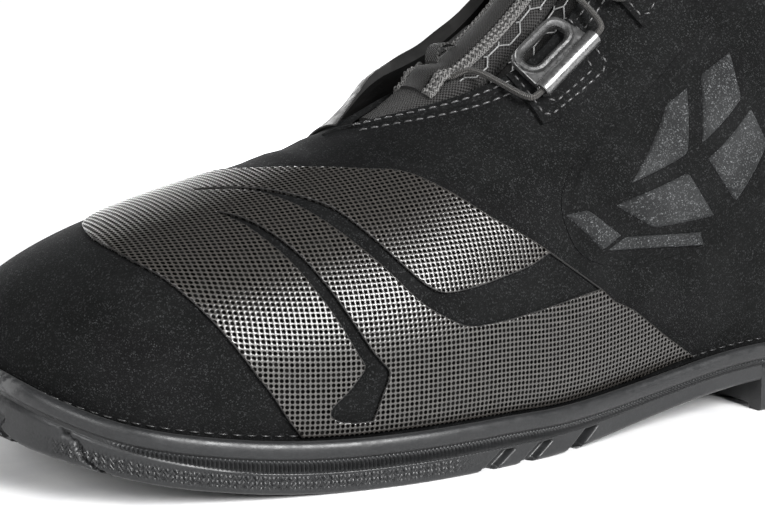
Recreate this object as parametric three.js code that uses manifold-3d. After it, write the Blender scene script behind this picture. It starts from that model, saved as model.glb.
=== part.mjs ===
// A short laced riding boot for the left foot, in millimetres, +Z up.
// The toe points along -X, the outer side along -Y, and the sole rests on z = 0.
// The upper is laid out on a shoemaker's last. A point of the last has a station t, which counts
// the sections below from the toe to the collar, and an angle a round the section: 0 is the outer
// side, 90 the ridge or shin, 180 the inner side and -90 the bottom or the back of the heel.
import * as THREE from 'three';
import { mergeVertices } from 'three/addons/utils/BufferGeometryUtils.js';
import Module from 'manifold-3d';

const wasm = await Module();
wasm.setup();

// Overall sizes
const BOOT_LENGTH = 302;
const BOOT_WIDTH = 107;
const COLLAR_HEIGHT = 192;

// Upper: thicknesses of its layers, from the outside in
const GAP = 0.3;
const SHELL = 1.6;
const STIFFENER = 1.4;
const LINING = 1.6;
const LINING_EASE = 0.6;
const OVERLAY = 0.8;
const OVERLAY_GAP = 0.5;
const BACKSTAY = 1.2;
const GUARD = 1.8;
const SEAM_ANGLE = 0.35;

// Sole
const CUP_WALL = 3;
const CUP_FLOOR = 3.5;
const HEEL_FLOOR = 5;
const FORE_WALL_HEIGHT = 13.2;
const HEEL_WALL_HEIGHT = 10.8;
const TOE_SPRING = 16.5;
const ARCH_RISE = 9;
const BUMPER_RISE = 5;
const HEEL_CUP_RISE = 6;
const LASTING_MARGIN = 6;
const BOARD_DROP = 4.5;
const BOARD_SETBACK = 5.5;
const FOOTBED_SETBACK = 1.4;
const BOARD = 2;
const FOOTBED = 4;
const FOOTBED_HEEL_EXTRA = 1.5;
const SHANK = 1.2;
const SHANK_WIDTH = 22;
const SHANK_FROM = 140;
const SHANK_TO = 245;

// Throat, tongue and closure
const THROAT_STATION = 6.1;
const THROAT_OPENING = 2.2;
const THROAT_HALF_ANGLE = 28;
const COLLAR_STATION = 13;
const COLLAR_RADIUS = 3.2;
const TONGUE_FROM = 6.45;
const TONGUE_TO = 13.9;
const TONGUE_HALF_ANGLE = 19;
const TONGUE_TOP = -1;
const TONGUE_BACK = -9.5;
const STRIP = 0.7;
const TAPE_PROUD = 0.4;
const GUSSET = 1.4;
const EYESTAY_ANGLE = 11;
const ROLL_ANGLE = 27;
const ROLL_PLATEAU = 0.72;
const ROLL_HEIGHT = 7.8;
const ROLL_PAD = 1.8;
const LACE_RADIUS = 0.85;
const LACE_SIDES = 8;
const LACE_STEPS = 78;
const GUIDE_LENGTH = 22;
const GUIDE_WIDTH = 13;
const GUIDE_PLATE = 2;
const GUIDE_BORE = 1.5;
const GUIDE_ROLL = 2.3;
const GUIDE_SLOT_WIDTH = 4.5;
const GUIDE_SLOT_LENGTH = 13;
const GUIDE_STATIONS = [8.2, 9.6, 10.9];
const LATERAL_GUIDE_ANGLE = 59;
const MEDIAL_GUIDE_ANGLE = 124;
const GUIDE_RIM = 2.4;
const GUIDE_SEAT = 0.8;
const GUIDE_LEAD = 3.5;
const TAB = 1;
const TAB_REACH = 0.32;
const DIAL_STATION = 12.4;
const DIAL_SEAT = 0.8;
const DIAL_RADIUS = 14.2;
const DIAL_HOUSING_RADIUS = 12.8;
const DIAL_PLATE_RADIUS = 15;
const DIAL_POST = 3.2;
const DIAL_CLEARANCE = 0.4;
const SCREW_SHANK = 1.2;
const SCREW_HEAD = 3.5;
const LOOP_WIDTH = 16;
const LOOP_THICKNESS = 1.5;
const LOOP_RISE = 16;
const TONGUE_TAB_WIDTH = 14;
const TONGUE_TAB_THICKNESS = 1.2;
const TONGUE_TAB_RISE = 12;

// Sections of the last: top s and z, bottom s and z, outer and inner half widths, y of the ridge,
// height share of the widest point, roundness above it and roundness below it. s runs from the toe.
const LAST_LENGTH = 302;
const LAST_WIDTH = 107;
const LAST_HEIGHT = 192;
const LAST = [
  [4.5, 30, 4.5, 30, 0, 0, 10, 0.45, 2, 2.2],
  [7.5, 41, 7.5, 20, 17, 17, 10, 0.42, 2, 2.4],
  [16, 49.8, 16, 16, 32, 29.5, 9, 0.4, 2.05, 2.6],
  [31, 57.8, 31, 6, 44.5, 37.5, 8, 0.45, 2.1, 3.4],
  [52, 64.8, 52, 3, 51, 42, 8, 0.44, 2.1, 4.2],
  [78, 71.8, 78, 1.5, 55, 43, 7.5, 0.42, 2.1, 4.6],
  [104, 80, 106, 1.5, 56, 43, 6, 0.38, 2, 4.6],
  [127, 92, 140, 2.5, 52, 40, 4, 0.35, 1.9, 4.6],
  [148, 107.5, 186, 6, 44.5, 37.5, 2, 0.33, 1.9, 4.2],
  [165.5, 127, 246, 4, 40.5, 36, 1, 0.38, 2, 4.6],
  [177, 148, 294, 17, 39, 36, 0, 0.47, 2.1, 3.4],
  [184, 166, 299.5, 66, 38.5, 37, 0, 0.48, 2.15, 2.4],
  [188.5, 181, 294, 127, 38.5, 37.5, 0, 0.5, 2.2, 2.2],
  [191, 192, 291.5, 186, 39, 38.5, 0, 0.5, 2.2, 2.2],
  [192.5, 206, 290.5, 200, 39.5, 39, 0, 0.5, 2.2, 2.2],
];
// The last and the sole's plan are drawn for a cup wall of PLAN_WALL. What lies inside the wall is
// scaled, and the wall keeps its own thickness.
const PLAN_WALL = 3;
const LENGTH_SCALE = (BOOT_LENGTH - 2 * CUP_WALL) / (LAST_LENGTH - 2 * PLAN_WALL);
const WIDTH_SCALE = (BOOT_WIDTH - 2 * CUP_WALL) / (LAST_WIDTH - 2 * PLAN_WALL);
const HEIGHT_SCALE = COLLAR_HEIGHT / LAST_HEIGHT;
const toX = (s) => (s - PLAN_WALL) * LENGTH_SCALE + CUP_WALL - BOOT_LENGTH / 2;
const toS = (x) => (x + BOOT_LENGTH / 2 - CUP_WALL) / LENGTH_SCALE + PLAN_WALL;

const radians = THREE.MathUtils.degToRad;
const clamp = THREE.MathUtils.clamp;
const vector = (x, y, z) => new THREE.Vector3(x, y, z);

function smooth(x) {
  const u = clamp(x, 0, 1);
  return 3 * u * u - 2 * u * u * u;
}

function between(a, b, c, d, f) {
  const linear = (c - a) * f;
  const square = (2 * a - 5 * b + 4 * c - d) * f * f;
  const cube = (3 * b - a - 3 * c + d) * f * f * f;
  return 0.5 * (2 * b + linear + square + cube);
}

// A smooth line through points of any number of coordinates; f runs from 0 to 1 along it.
function along(points, f) {
  const count = points.length;
  const t = clamp(f, 0, 1) * (count - 1);
  const i = Math.min(Math.floor(t), count - 2);
  const pick = (j) => points[clamp(j, 0, count - 1)];
  return points[0].map((_, k) => between(pick(i - 1)[k], pick(i)[k], pick(i + 1)[k], pick(i + 2)[k], t - i));
}

// ---- the last ----

// The section before the toe's pole mirrors the one after it, so the toe comes out round.
function lastRow(index) {
  if (index >= 0 && index < LAST.length) {
    return LAST[index];
  }
  if (index >= LAST.length) {
    const end = LAST[LAST.length - 1];
    return end.map((value, k) => 2 * value - LAST[LAST.length - 2][k]);
  }
  const next = LAST[1];
  const pole = LAST[0];
  return [
    next[0], 2 * pole[1] - next[1], next[2], 2 * pole[3] - next[3],
    -next[4], -next[5], next[6], next[7], next[8], next[9],
  ];
}

function section(t) {
  const i = clamp(Math.floor(t), 0, LAST.length - 2);
  const rows = [lastRow(i - 1), lastRow(i), lastRow(i + 1), lastRow(i + 2)];
  return rows[0].map((_, k) => between(rows[0][k], rows[1][k], rows[2][k], rows[3][k], t - i));
}

function surface(t, a) {
  const [sTop, zTop, sLow, zLow, outer, inner, ridge, share, above, below] = section(t);
  const c = Math.cos(radians(a));
  const s = Math.sin(radians(a));
  const power = s >= 0 ? above : below;
  const reach = (Math.abs(c) ** power + Math.abs(s) ** power) ** (-1 / power);
  const height = s >= 0 ? share + (1 - share) * s * reach : share + share * s * reach;
  return vector(
    toX(sLow + (sTop - sLow) * height),
    (ridge - c * reach * (c >= 0 ? outer : inner)) * WIDTH_SCALE,
    (zLow + (zTop - zLow) * height) * HEIGHT_SCALE,
  );
}

function normal(t, a) {
  if (t < 1e-6) {
    return vector(-1, 0, 0);
  }
  const alongLast = surface(t + 1e-3, a).sub(surface(t - 1e-3, a));
  const roundLast = surface(t, a + 0.05).sub(surface(t, a - 0.05));
  return alongLast.cross(roundLast).normalize();
}

// The point at station t and angle a, lifted off the last by a distance.
function place(t, a, lift = 0) {
  return surface(t, a).addScaledVector(normal(t, a), lift);
}

// A frame on the last: x runs up the boot along the stations, z points away from the foot.
function seatFrame(t, a, lift) {
  const z = normal(t, a);
  const x = surface(t + 1e-2, a).sub(surface(t - 1e-2, a));
  x.addScaledVector(z, -x.dot(z)).normalize();
  const y = z.clone().cross(x);
  return new THREE.Matrix4().makeBasis(x, y, z).setPosition(place(t, a, lift));
}

// The layers under the shell, as distances off the last.
const stiffenerOut = -SHELL - GAP;
const stiffenerIn = stiffenerOut - STIFFENER;
const liningOut = stiffenerIn - LINING_EASE;
const liningIn = liningOut - LINING;

// ---- heights of the sole at distance s from the toe ----

function underside(s) {
  const spring = TOE_SPRING * (Math.max(88 - s, 0) / 88) ** 2;
  return spring + ARCH_RISE * smooth((s - 135) / 84);
}

function wallHeight(s) {
  return FORE_WALL_HEIGHT + (HEEL_WALL_HEIGHT - FORE_WALL_HEIGHT) * smooth((s - 120) / 70);
}

function heelCup(s) {
  return HEEL_CUP_RISE * smooth((s - 235) / 60);
}

function soleTop(s) {
  return underside(s) + wallHeight(s) + BUMPER_RISE * (Math.max(30 - s, 0) / 30) ** 2 + heelCup(s);
}

function feather(s) {
  return underside(s) + wallHeight(s) + heelCup(s) - LASTING_MARGIN;
}

// The angle where a section crosses a height line, the upper's lower edge unless another is given,
// or the bottom where the whole section lies above it.
function edgeAngle(t, side, height = feather) {
  const above = (a) => {
    const p = surface(t, a);
    return p.z - height(toS(p.x));
  };
  const bottom = side < 0 ? -90 : 270;
  let high = side < 0 ? 0 : 180;
  let low = bottom;
  if (above(bottom) >= 0) {
    return bottom;
  }
  for (let n = 0; n < 40; n += 1) {
    const middle = (low + high) / 2;
    if (above(middle) > 0) {
      high = middle;
    } else {
      low = middle;
    }
  }
  return high;
}

// Half the throat's angle at a station: nothing at the vamp point, then opening up the shin.
function throatAngle(t) {
  const closed = 1 - clamp((t - THROAT_STATION) / THROAT_OPENING, 0, 1);
  return THROAT_HALF_ANGLE * (1 - closed * closed);
}

// ---- meshes ----

// Triangles become one closed body facing outwards: corners are welded, faces back to back cancel.
function weld(triangles) {
  const numbers = new Map();
  const positions = [];
  const index = (p) => {
    const key = [p.x, p.y, p.z].map((value) => Math.round(value * 1000)).join();
    if (!numbers.has(key)) {
      numbers.set(key, numbers.size);
      positions.push(p.x, p.y, p.z);
    }
    return numbers.get(key);
  };
  const faces = new Map();
  for (const corners of triangles) {
    const face = corners.map(index);
    if (new Set(face).size < 3) {
      continue;
    }
    const key = [...face].sort((a, b) => a - b).join();
    if (faces.has(key)) {
      faces.delete(key);
    } else {
      faces.set(key, face);
    }
  }
  const corner = (n) => vector(...positions.slice(3 * n, 3 * n + 3));
  const list = [...faces.values()];
  const volume = list.reduce((sum, [a, b, c]) => sum + corner(a).dot(corner(b).cross(corner(c))), 0);
  const outward = volume > 0 ? list : list.map(([a, b, c]) => [a, c, b]);
  const geometry = new THREE.BufferGeometry();
  geometry.setAttribute('position', new THREE.Float32BufferAttribute(positions, 3));
  geometry.setIndex(outward.flat());
  return geometry;
}

function quad(a, b, c, d) {
  return [[a, b, c], [a, c, d]];
}

// A slab between two grids of points, each a list of rows; front faces out.
function slab(front, back) {
  const faces = [];
  const lastI = front.length - 1;
  const lastJ = front[0].length - 1;
  for (let i = 0; i < lastI; i += 1) {
    for (let j = 0; j < lastJ; j += 1) {
      faces.push(...quad(front[i][j], front[i + 1][j], front[i + 1][j + 1], front[i][j + 1]));
      faces.push(...quad(back[i][j], back[i][j + 1], back[i + 1][j + 1], back[i + 1][j]));
    }
    faces.push(...quad(front[i][0], back[i][0], back[i + 1][0], front[i + 1][0]));
    faces.push(...quad(front[i][lastJ], front[i + 1][lastJ], back[i + 1][lastJ], back[i][lastJ]));
  }
  for (let j = 0; j < lastJ; j += 1) {
    faces.push(...quad(front[0][j], front[0][j + 1], back[0][j + 1], back[0][j]));
    faces.push(...quad(front[lastI][j], back[lastI][j], back[lastI][j + 1], front[lastI][j + 1]));
  }
  return faces;
}

const asLift = (lift) => (typeof lift === 'function' ? lift : () => lift);

// A layer of the upper over stations and angles, with range(t) giving its two edges' angles.
function layer(stations, angles, range, inside, outside) {
  const grid = (lift) => stations.map((t) => {
    const [low, high] = range(t);
    return angles.map((a) => {
      const held = clamp(a, low, high);
      return place(t, held, asLift(lift)(t, held));
    });
  });
  return slab(grid(outside), grid(inside));
}

// A layer over a patch with four curved edges, blended across (a Coons patch).
function patch(steps, sides, bottom, top, left, right, inside, outside) {
  const grid = (lift) => {
    const rows = [];
    for (let i = 0; i <= steps; i += 1) {
      const u = i / steps;
      const row = [];
      for (let j = 0; j <= sides; j += 1) {
        const v = j / sides;
        const [low, high, start, end] = [along(bottom, u), along(top, u), along(left, v), along(right, v)];
        const [t, a] = [0, 1].map((k) => {
          const edges = low[k] * (1 - v) + high[k] * v + start[k] * (1 - u) + end[k] * u;
          const corners = (bottom[0][k] * (1 - u) + bottom.at(-1)[k] * u) * (1 - v)
            + (top[0][k] * (1 - u) + top.at(-1)[k] * u) * v;
          return edges - corners;
        });
        row.push(place(t, a, lift));
      }
      rows.push(row);
    }
    return rows;
  };
  return slab(grid(outside), grid(inside));
}

function steps(from, to, count) {
  return Array.from({ length: count + 1 }, (_, i) => from + ((to - from) * i) / count);
}

// Stations of a common grid between two ends, so that stacked layers have parallel facets.
function stationsBetween(from, to, step) {
  const inner = steps(0, LAST.length - 1, Math.round((LAST.length - 1) / step));
  return [from, ...inner.filter((t) => t > from + 0.05 && t < to - 0.05), to];
}

const HALF_STEP = 0.5;
const OUTER_ANGLES = steps(-90, 90, 15);
const INNER_ANGLES = steps(90, 270, 15);
const ALL_ANGLES = [...OUTER_ANGLES, ...INNER_ANGLES.slice(1)];
const LINING_OUTER_ANGLES = steps(-90, 90, 12);
const LINING_INNER_ANGLES = steps(90, 270, 12);

function solidOf(geometry) {
  const bare = geometry.clone();
  bare.deleteAttribute('normal');
  bare.deleteAttribute('uv');
  const merged = mergeVertices(bare, 1e-4);
  return new wasm.Manifold(new wasm.Mesh({
    numProp: 3,
    vertProperties: new Float32Array(merged.attributes.position.array),
    triVerts: new Uint32Array(merged.index.array),
  }));
}

function geometryOf(solid) {
  const mesh = solid.getMesh();
  const geometry = new THREE.BufferGeometry();
  geometry.setAttribute('position', new THREE.BufferAttribute(mesh.vertProperties, 3));
  geometry.setIndex(new THREE.BufferAttribute(mesh.triVerts, 1));
  return geometry;
}

// ---- materials ----

function material(color, roughness, metalness = 0) {
  return new THREE.MeshStandardMaterial({ color, roughness, metalness });
}

const nubuck = material(0x161617, 0.9);
const weave = material(0x4b4a49, 0.45);
const rubber = material(0x222223, 0.7);
const foam = material(0x3a3a3a, 0.95);
const board = material(0x8a8578, 0.95);
const textile = material(0x1d1d1e, 0.95);
const moulded = material(0x2f3031, 0.6);
const steel = material(0x8d8f92, 0.35, 1);
const gunmetal = material(0x3b3c3f, 0.35, 0.8);
const plastic = material(0x1a1a1b, 0.45);
const cord = material(0x26262a, 0.5);

const boot = new THREE.Group();

function addTo(parent, name, geometry, finish) {
  const mesh = new THREE.Mesh(geometry, finish);
  mesh.name = name;
  parent.add(mesh);
  return mesh;
}

function add(name, geometry, finish) {
  return addTo(boot, name, geometry, finish);
}

// ---- sole ----

// Plan of the sole's outer edge: s, y on the outer side and y on the inner side.
const SOLE_PLAN = [
  [0, 10, 10], [1.3, 1.5, 18.5], [4.7, -8.8, 28.8], [13.7, -25.3, 40.8], [29.5, -39.5, 48.7],
  [51.5, -46.3, 53], [78, -50.9, 53.5], [104, -53.5, 52.3], [136, -51.3, 47.5], [173, -46, 43],
  [214, -43.4, 41], [250, -42.5, 41], [276, -38.5, 37.5], [291, -29.8, 28.8], [299, -16, 15.5], [302, 0, 0],
];
const PLAN_STEPS = 32;

// One side of the sole's plan, moved inwards, from the toe to the heel. The wall's inner face is scaled.
function planSide(side, inset) {
  const at = (f) => {
    const [s, outer, inner] = along(SOLE_PLAN, f);
    return new THREE.Vector2(s, side < 0 ? outer : inner);
  };
  return steps(0, 1, PLAN_STEPS).map((f) => {
    if (f === 0) {
      return new THREE.Vector2(-BOOT_LENGTH / 2 + inset, SOLE_PLAN[0][1] * WIDTH_SCALE);
    }
    if (f === 1) {
      return new THREE.Vector2(BOOT_LENGTH / 2 - inset, 0);
    }
    const run = at(f + 1e-3).sub(at(f - 1e-3)).normalize();
    const inwards = new THREE.Vector2(side * run.y, -side * run.x);
    const inner = at(f).addScaledVector(inwards, PLAN_WALL);
    const point = new THREE.Vector2(toX(inner.x), inner.y * WIDTH_SCALE);
    point.addScaledVector(inwards, inset - CUP_WALL);
    point.x = clamp(point.x, -BOOT_LENGTH / 2 + inset, BOOT_LENGTH / 2 - inset);
    return point;
  });
}

// A ring round the plan: both sides at one inset, at a height that follows s.
function planRing(inset, height) {
  const lift = (p) => vector(p.x, p.y, height(toS(p.x)));
  return { outer: planSide(-1, inset).map(lift), inner: planSide(1, inset).map(lift) };
}

function ringWall(lower, upper) {
  const faces = [];
  for (let i = 0; i < PLAN_STEPS; i += 1) {
    faces.push(...quad(lower.outer[i], lower.outer[i + 1], upper.outer[i + 1], upper.outer[i]));
    faces.push(...quad(lower.inner[i], upper.inner[i], upper.inner[i + 1], lower.inner[i + 1]));
  }
  return faces;
}

function ringCap(ring, up) {
  const faces = [];
  for (let i = 0; i < PLAN_STEPS; i += 1) {
    const corners = [ring.outer[i], ring.outer[i + 1], ring.inner[i + 1], ring.inner[i]];
    faces.push(...quad(...(up ? corners : corners.reverse())));
  }
  return faces;
}

// Rings from the underside up, out over the rim and down inside make a closed body.
function stack(rings) {
  const walls = rings.slice(1).flatMap((ring, i) => ringWall(rings[i], ring));
  return weld([...ringCap(rings[0], false), ...walls, ...ringCap(rings.at(-1), true)]);
}

const HEEL_BREAST = 216.5;
const ground = (s) => (s > HEEL_BREAST ? 0 : underside(s));
const cupFloor = (s) => {
  const heel = smooth((s - 222) / 24);
  return (underside(s) + CUP_FLOOR) * (1 - heel) + HEEL_FLOOR * heel;
};
const boardUnder = (s) => underside(s) + wallHeight(s) - BOARD_DROP;
const boardOver = (s) => boardUnder(s) + BOARD;
const midsoleOver = (s) => boardUnder(s) - SHANK - 2 * GAP;
const footbedOver = (s) => boardOver(s) + GAP + FOOTBED + FOOTBED_HEEL_EXTRA * smooth((s - 130) / 80);

const BEAD = 1.2;
const BOARD_INSET = CUP_WALL - liningIn + BOARD_SETBACK;
const FOOTBED_INSET = BOARD_INSET + FOOTBED_SETBACK;
const MIDSOLE_INSET = CUP_WALL + 1;

add('outsole', stack([
  planRing(2.2, ground),
  planRing(0.9, (s) => ground(s) + 1.6),
  planRing(BEAD, (s) => soleTop(s) - 4.2),
  planRing(0, (s) => soleTop(s) - 2.6),
  planRing(0.2, (s) => soleTop(s) - 0.8),
  planRing(BEAD, soleTop),
  planRing(CUP_WALL - 0.8, soleTop),
  planRing(CUP_WALL, (s) => soleTop(s) - 1),
  planRing(CUP_WALL + 0.4, cupFloor),
]), rubber);

add('midsole', stack([
  planRing(MIDSOLE_INSET, (s) => cupFloor(s) + GAP),
  planRing(MIDSOLE_INSET, midsoleOver),
]), foam);

add('insole_board', stack([
  planRing(BOARD_INSET, boardUnder),
  planRing(BOARD_INSET, boardOver),
]), board);

add('footbed', stack([
  planRing(FOOTBED_INSET, (s) => boardOver(s) + GAP),
  planRing(FOOTBED_INSET, footbedOver),
]), textile);

function shankGeometry() {
  const grid = (lift) => steps(SHANK_TO, SHANK_FROM, 10).map((s) => [-1, 1].map((side) => vector(
    toX(s),
    side * (SHANK_WIDTH / 2),
    midsoleOver(s) + lift,
  )));
  return weld(slab(grid(GAP + SHANK), grid(GAP)));
}
add('shank', shankGeometry(), steel);

// ---- upper ----

const VAMP_SEAM = 4.75;
const SEAM_STATION = 0.02;
const RIDGE_SEAM = INNER_ANGLES[1];
const throatStations = stationsBetween(6.5, COLLAR_STATION, HALF_STEP);

// The vamp wraps the toe and runs up the outer side as one piece. Its inner seam climbs the section
// at VAMP_SEAM, then follows the ridge's inner side to the throat.
function innerSeam(t) {
  return t < THROAT_STATION ? RIDGE_SEAM : 90 + throatAngle(t);
}

function backSeam(t, side) {
  const angle = edgeAngle(t, side);
  return Math.abs(angle - 90) > 179.9 && t > 5 ? angle - side * SEAM_ANGLE : angle;
}

const outerEdge = (t) => backSeam(t, -1);
const innerEdge = (t) => backSeam(t, 1);
add('vamp_and_lateral_quarter', weld([
  ...layer(
    stationsBetween(0, VAMP_SEAM, HALF_STEP),
    ALL_ANGLES,
    (t) => [outerEdge(t), innerEdge(t)],
    -SHELL,
    0,
  ),
  ...layer(
    [...stationsBetween(VAMP_SEAM, THROAT_STATION, HALF_STEP), ...throatStations],
    ALL_ANGLES,
    (t) => [outerEdge(t), t < THROAT_STATION ? RIDGE_SEAM : 90 - throatAngle(t)],
    -SHELL,
    0,
  ),
]), nubuck);

add('medial_quarter', weld(layer(
  [...stationsBetween(VAMP_SEAM + SEAM_STATION, THROAT_STATION, HALF_STEP), ...throatStations],
  INNER_ANGLES,
  (t) => [innerSeam(t) + 2 * SEAM_ANGLE, innerEdge(t)],
  -SHELL,
  0,
)), nubuck);

// Two wings that meet over the toe and round the heel.
function wings(stations, outerAngles, innerAngles, outerRange, innerRange, inside, outside) {
  return weld([
    ...layer(stations, outerAngles, outerRange, inside, outside),
    ...layer(stations, innerAngles, innerRange, inside, outside),
  ]);
}

add('lining', wings(
  [...steps(0, 2, 4), 3, 4, ...steps(4.5, 6, 3), THROAT_STATION, ...steps(6.5, 11, 9), 12, COLLAR_STATION],
  LINING_OUTER_ANGLES,
  LINING_INNER_ANGLES,
  (t) => [edgeAngle(t, -1), 90 - throatAngle(t)],
  (t) => [90 + throatAngle(t), edgeAngle(t, 1)],
  liningIn,
  liningOut,
), textile);

const TOE_PUFF_TO = 3.5;
add('toe_puff', weld(layer(
  stationsBetween(0, TOE_PUFF_TO, HALF_STEP),
  ALL_ANGLES,
  (t) => [edgeAngle(t, -1), edgeAngle(t, 1)],
  stiffenerIn,
  stiffenerOut,
)), board);

// The counter's wings shorten towards its top line.
const COUNTER_FROM = 8.5;
const COUNTER_TO = 11.5;
const counterReach = (t) => 18 - 40 * smooth((t - 9.5) / (COUNTER_TO - 9.5));
add('heel_counter', wings(
  stationsBetween(COUNTER_FROM, COUNTER_TO, HALF_STEP),
  OUTER_ANGLES,
  INNER_ANGLES,
  (t) => [edgeAngle(t, -1), Math.max(counterReach(t), edgeAngle(t, -1) + 1)],
  (t) => [Math.min(180 - counterReach(t), edgeAngle(t, 1) - 1), edgeAngle(t, 1)],
  stiffenerIn,
  stiffenerOut,
), board);

add('lateral_eyestay', weld(layer(
  stationsBetween(6.5, COLLAR_STATION, HALF_STEP),
  steps(30, 90, 10),
  (t) => [90 - throatAngle(t) - EYESTAY_ANGLE, 90 - throatAngle(t)],
  stiffenerIn,
  stiffenerOut,
)), textile);

// The inner eyestay is a padded flap over the lace guides, sewn down along its outer edge.
const rollShare = (t, a) => clamp((a - 90 - throatAngle(t)) / ROLL_ANGLE, 0, 1);
const rollFade = (t) => smooth((t - 6) / 1.6) * smooth((COLLAR_STATION - t) / 0.8);
const rollOutside = (t, a) => {
  const share = rollShare(t, a);
  const crown = 1 - smooth((share - ROLL_PLATEAU) / (1 - ROLL_PLATEAU));
  return OVERLAY_GAP + 1.2 + (ROLL_HEIGHT - 1.7) * crown * rollFade(t);
};
const rollInside = (t, a) => {
  const under = ROLL_HEIGHT - ROLL_PAD - OVERLAY_GAP;
  const falling = smooth((rollShare(t, a) - ROLL_PLATEAU) / 0.22);
  return OVERLAY_GAP + under * (1 - falling) * rollFade(t);
};
add('medial_eyestay', weld(layer(
  stationsBetween(6.2, COLLAR_STATION, HALF_STEP),
  steps(90, 150, 16),
  (t) => [90 + throatAngle(t) + 1, 90 + throatAngle(t) + ROLL_ANGLE],
  rollInside,
  rollOutside,
)), nubuck);

add('heel_backstay', weld(layer(
  stationsBetween(10.45, 12.9, HALF_STEP),
  steps(-110, -70, 4),
  (t) => [-90 - 14 + t * 0.3, -90 + 14 - t * 0.3],
  OVERLAY_GAP,
  OVERLAY_GAP + BACKSTAY,
)), nubuck);

// The woven guard on the forefoot: four edges as station and angle, then two swooshes cut out of it.
const guardFoot = (t) => [t, edgeAngle(t, -1, (s) => soleTop(s) + 1)];
const GUARD_FRONT = [guardFoot(4.68), [4.55, -22], [4.07, 12], [3.57, 43], [3.3, 66], [3.24, 87]];
const GUARD_TOP = [
  [3.24, 87], [3.58, 101], [4.3, 106], [4.85, 98], [5.4, 74], [5.9, 61], [6.5, 42], [7.25, 17],
];
const GUARD_BACK = [guardFoot(8.22), [8.03, -21], [7.84, -6], [7.6, 4], [7.4, 11], [7.25, 17]];
const GUARD_LOW = steps(4.68, 8.22, 8).map(guardFoot);
const UPPER_SWOOSH_TOP = [[4.45, 84], [5.1, 62], [5.55, 39], [5.98, 19], [6.4, 16], [7.6, 17.5]];
const UPPER_SWOOSH_LOW = [[4.45, 81], [4.95, 62], [5.4, 37], [5.95, 12], [6.5, 5.5], [7.9, 3.5]];
const LOWER_SWOOSH_TOP = [[4.4, 66], [4.7, 49], [5.01, 25], [5.35, 3], [5.47, -8], [5.34, -26]];
const LOWER_SWOOSH_LOW = [[4.38, 63], [4.62, 47], [4.88, 26], [5.24, 2], [5.2, -6], [4.95, -22]];

function swoosh(top, low) {
  const start = [low[0], top[0]];
  const end = [low.at(-1), top.at(-1)];
  return solidOf(weld(patch(12, 1, low, top, start, end, -1, 4)));
}

function guardGeometry() {
  const sheet = solidOf(weld(patch(
    12, 14, GUARD_LOW, GUARD_TOP, GUARD_FRONT, GUARD_BACK, OVERLAY_GAP, OVERLAY_GAP + OVERLAY,
  )));
  const upper = swoosh(UPPER_SWOOSH_TOP, UPPER_SWOOSH_LOW);
  const lower = swoosh(LOWER_SWOOSH_TOP, LOWER_SWOOSH_LOW);
  return geometryOf(sheet.subtract(upper).subtract(lower));
}
add('shift_guard', guardGeometry(), weave);

// Rounded pads over the ankle bones.
function anklePad(centreAngle) {
  const centre = 8.85;
  const reach = 1.25;
  const half = 15;
  const spread = (t) => half * (1 - Math.min(Math.abs((t - centre) / reach), 1) ** 2.6) ** (1 / 2.6);
  return weld(layer(
    steps(centre - reach, centre + reach, 10),
    steps(centreAngle - half, centreAngle + half, 8),
    (t) => [centreAngle - Math.max(spread(t), 2), centreAngle + Math.max(spread(t), 2)],
    OVERLAY_GAP,
    OVERLAY_GAP + GUARD,
  ));
}
add('lateral_ankle_guard', anklePad(20), moulded);
add('medial_ankle_guard', anklePad(164), moulded);

// ---- tubes and straps ----

function tube(points, radius, sides, count, closed = false) {
  const shape = new THREE.Shape();
  shape.absarc(0, 0, radius, 0, 2 * Math.PI, false);
  const outline = shape.getPoints(sides).slice(0, sides);
  return new THREE.ExtrudeGeometry(new THREE.Shape(outline), {
    steps: count,
    bevelEnabled: false,
    extrudePath: new THREE.CatmullRomCurve3(points, closed),
  });
}

const collarLift = liningIn / 2;
const collarHalf = throatAngle(COLLAR_STATION) + 2;
const collarPoints = steps(90 + collarHalf, 450 - collarHalf, 22).map((a) => {
  const p = place(COLLAR_STATION, a, collarLift);
  p.z += COLLAR_RADIUS + GAP;
  return p;
});
add('collar_roll', tube(collarPoints, COLLAR_RADIUS, 8, 28), nubuck);

// A strap of flat section along a path in the XZ plane.
function strap(points, width, thickness, count) {
  const curve = new THREE.CatmullRomCurve3(points);
  const rows = (side) => steps(0, 1, count).map((f) => {
    const p = curve.getPoint(f);
    const run = curve.getTangent(f);
    const out = vector(-run.z, 0, run.x).multiplyScalar((side * thickness) / 2);
    return [-1, 1].map((edge) => p.clone().add(out).add(vector(0, (edge * width) / 2, 0)));
  });
  return weld(slab(rows(1), rows(-1)));
}

const loopOut = OVERLAY_GAP + BACKSTAY + GAP + LOOP_THICKNESS / 2;
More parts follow.
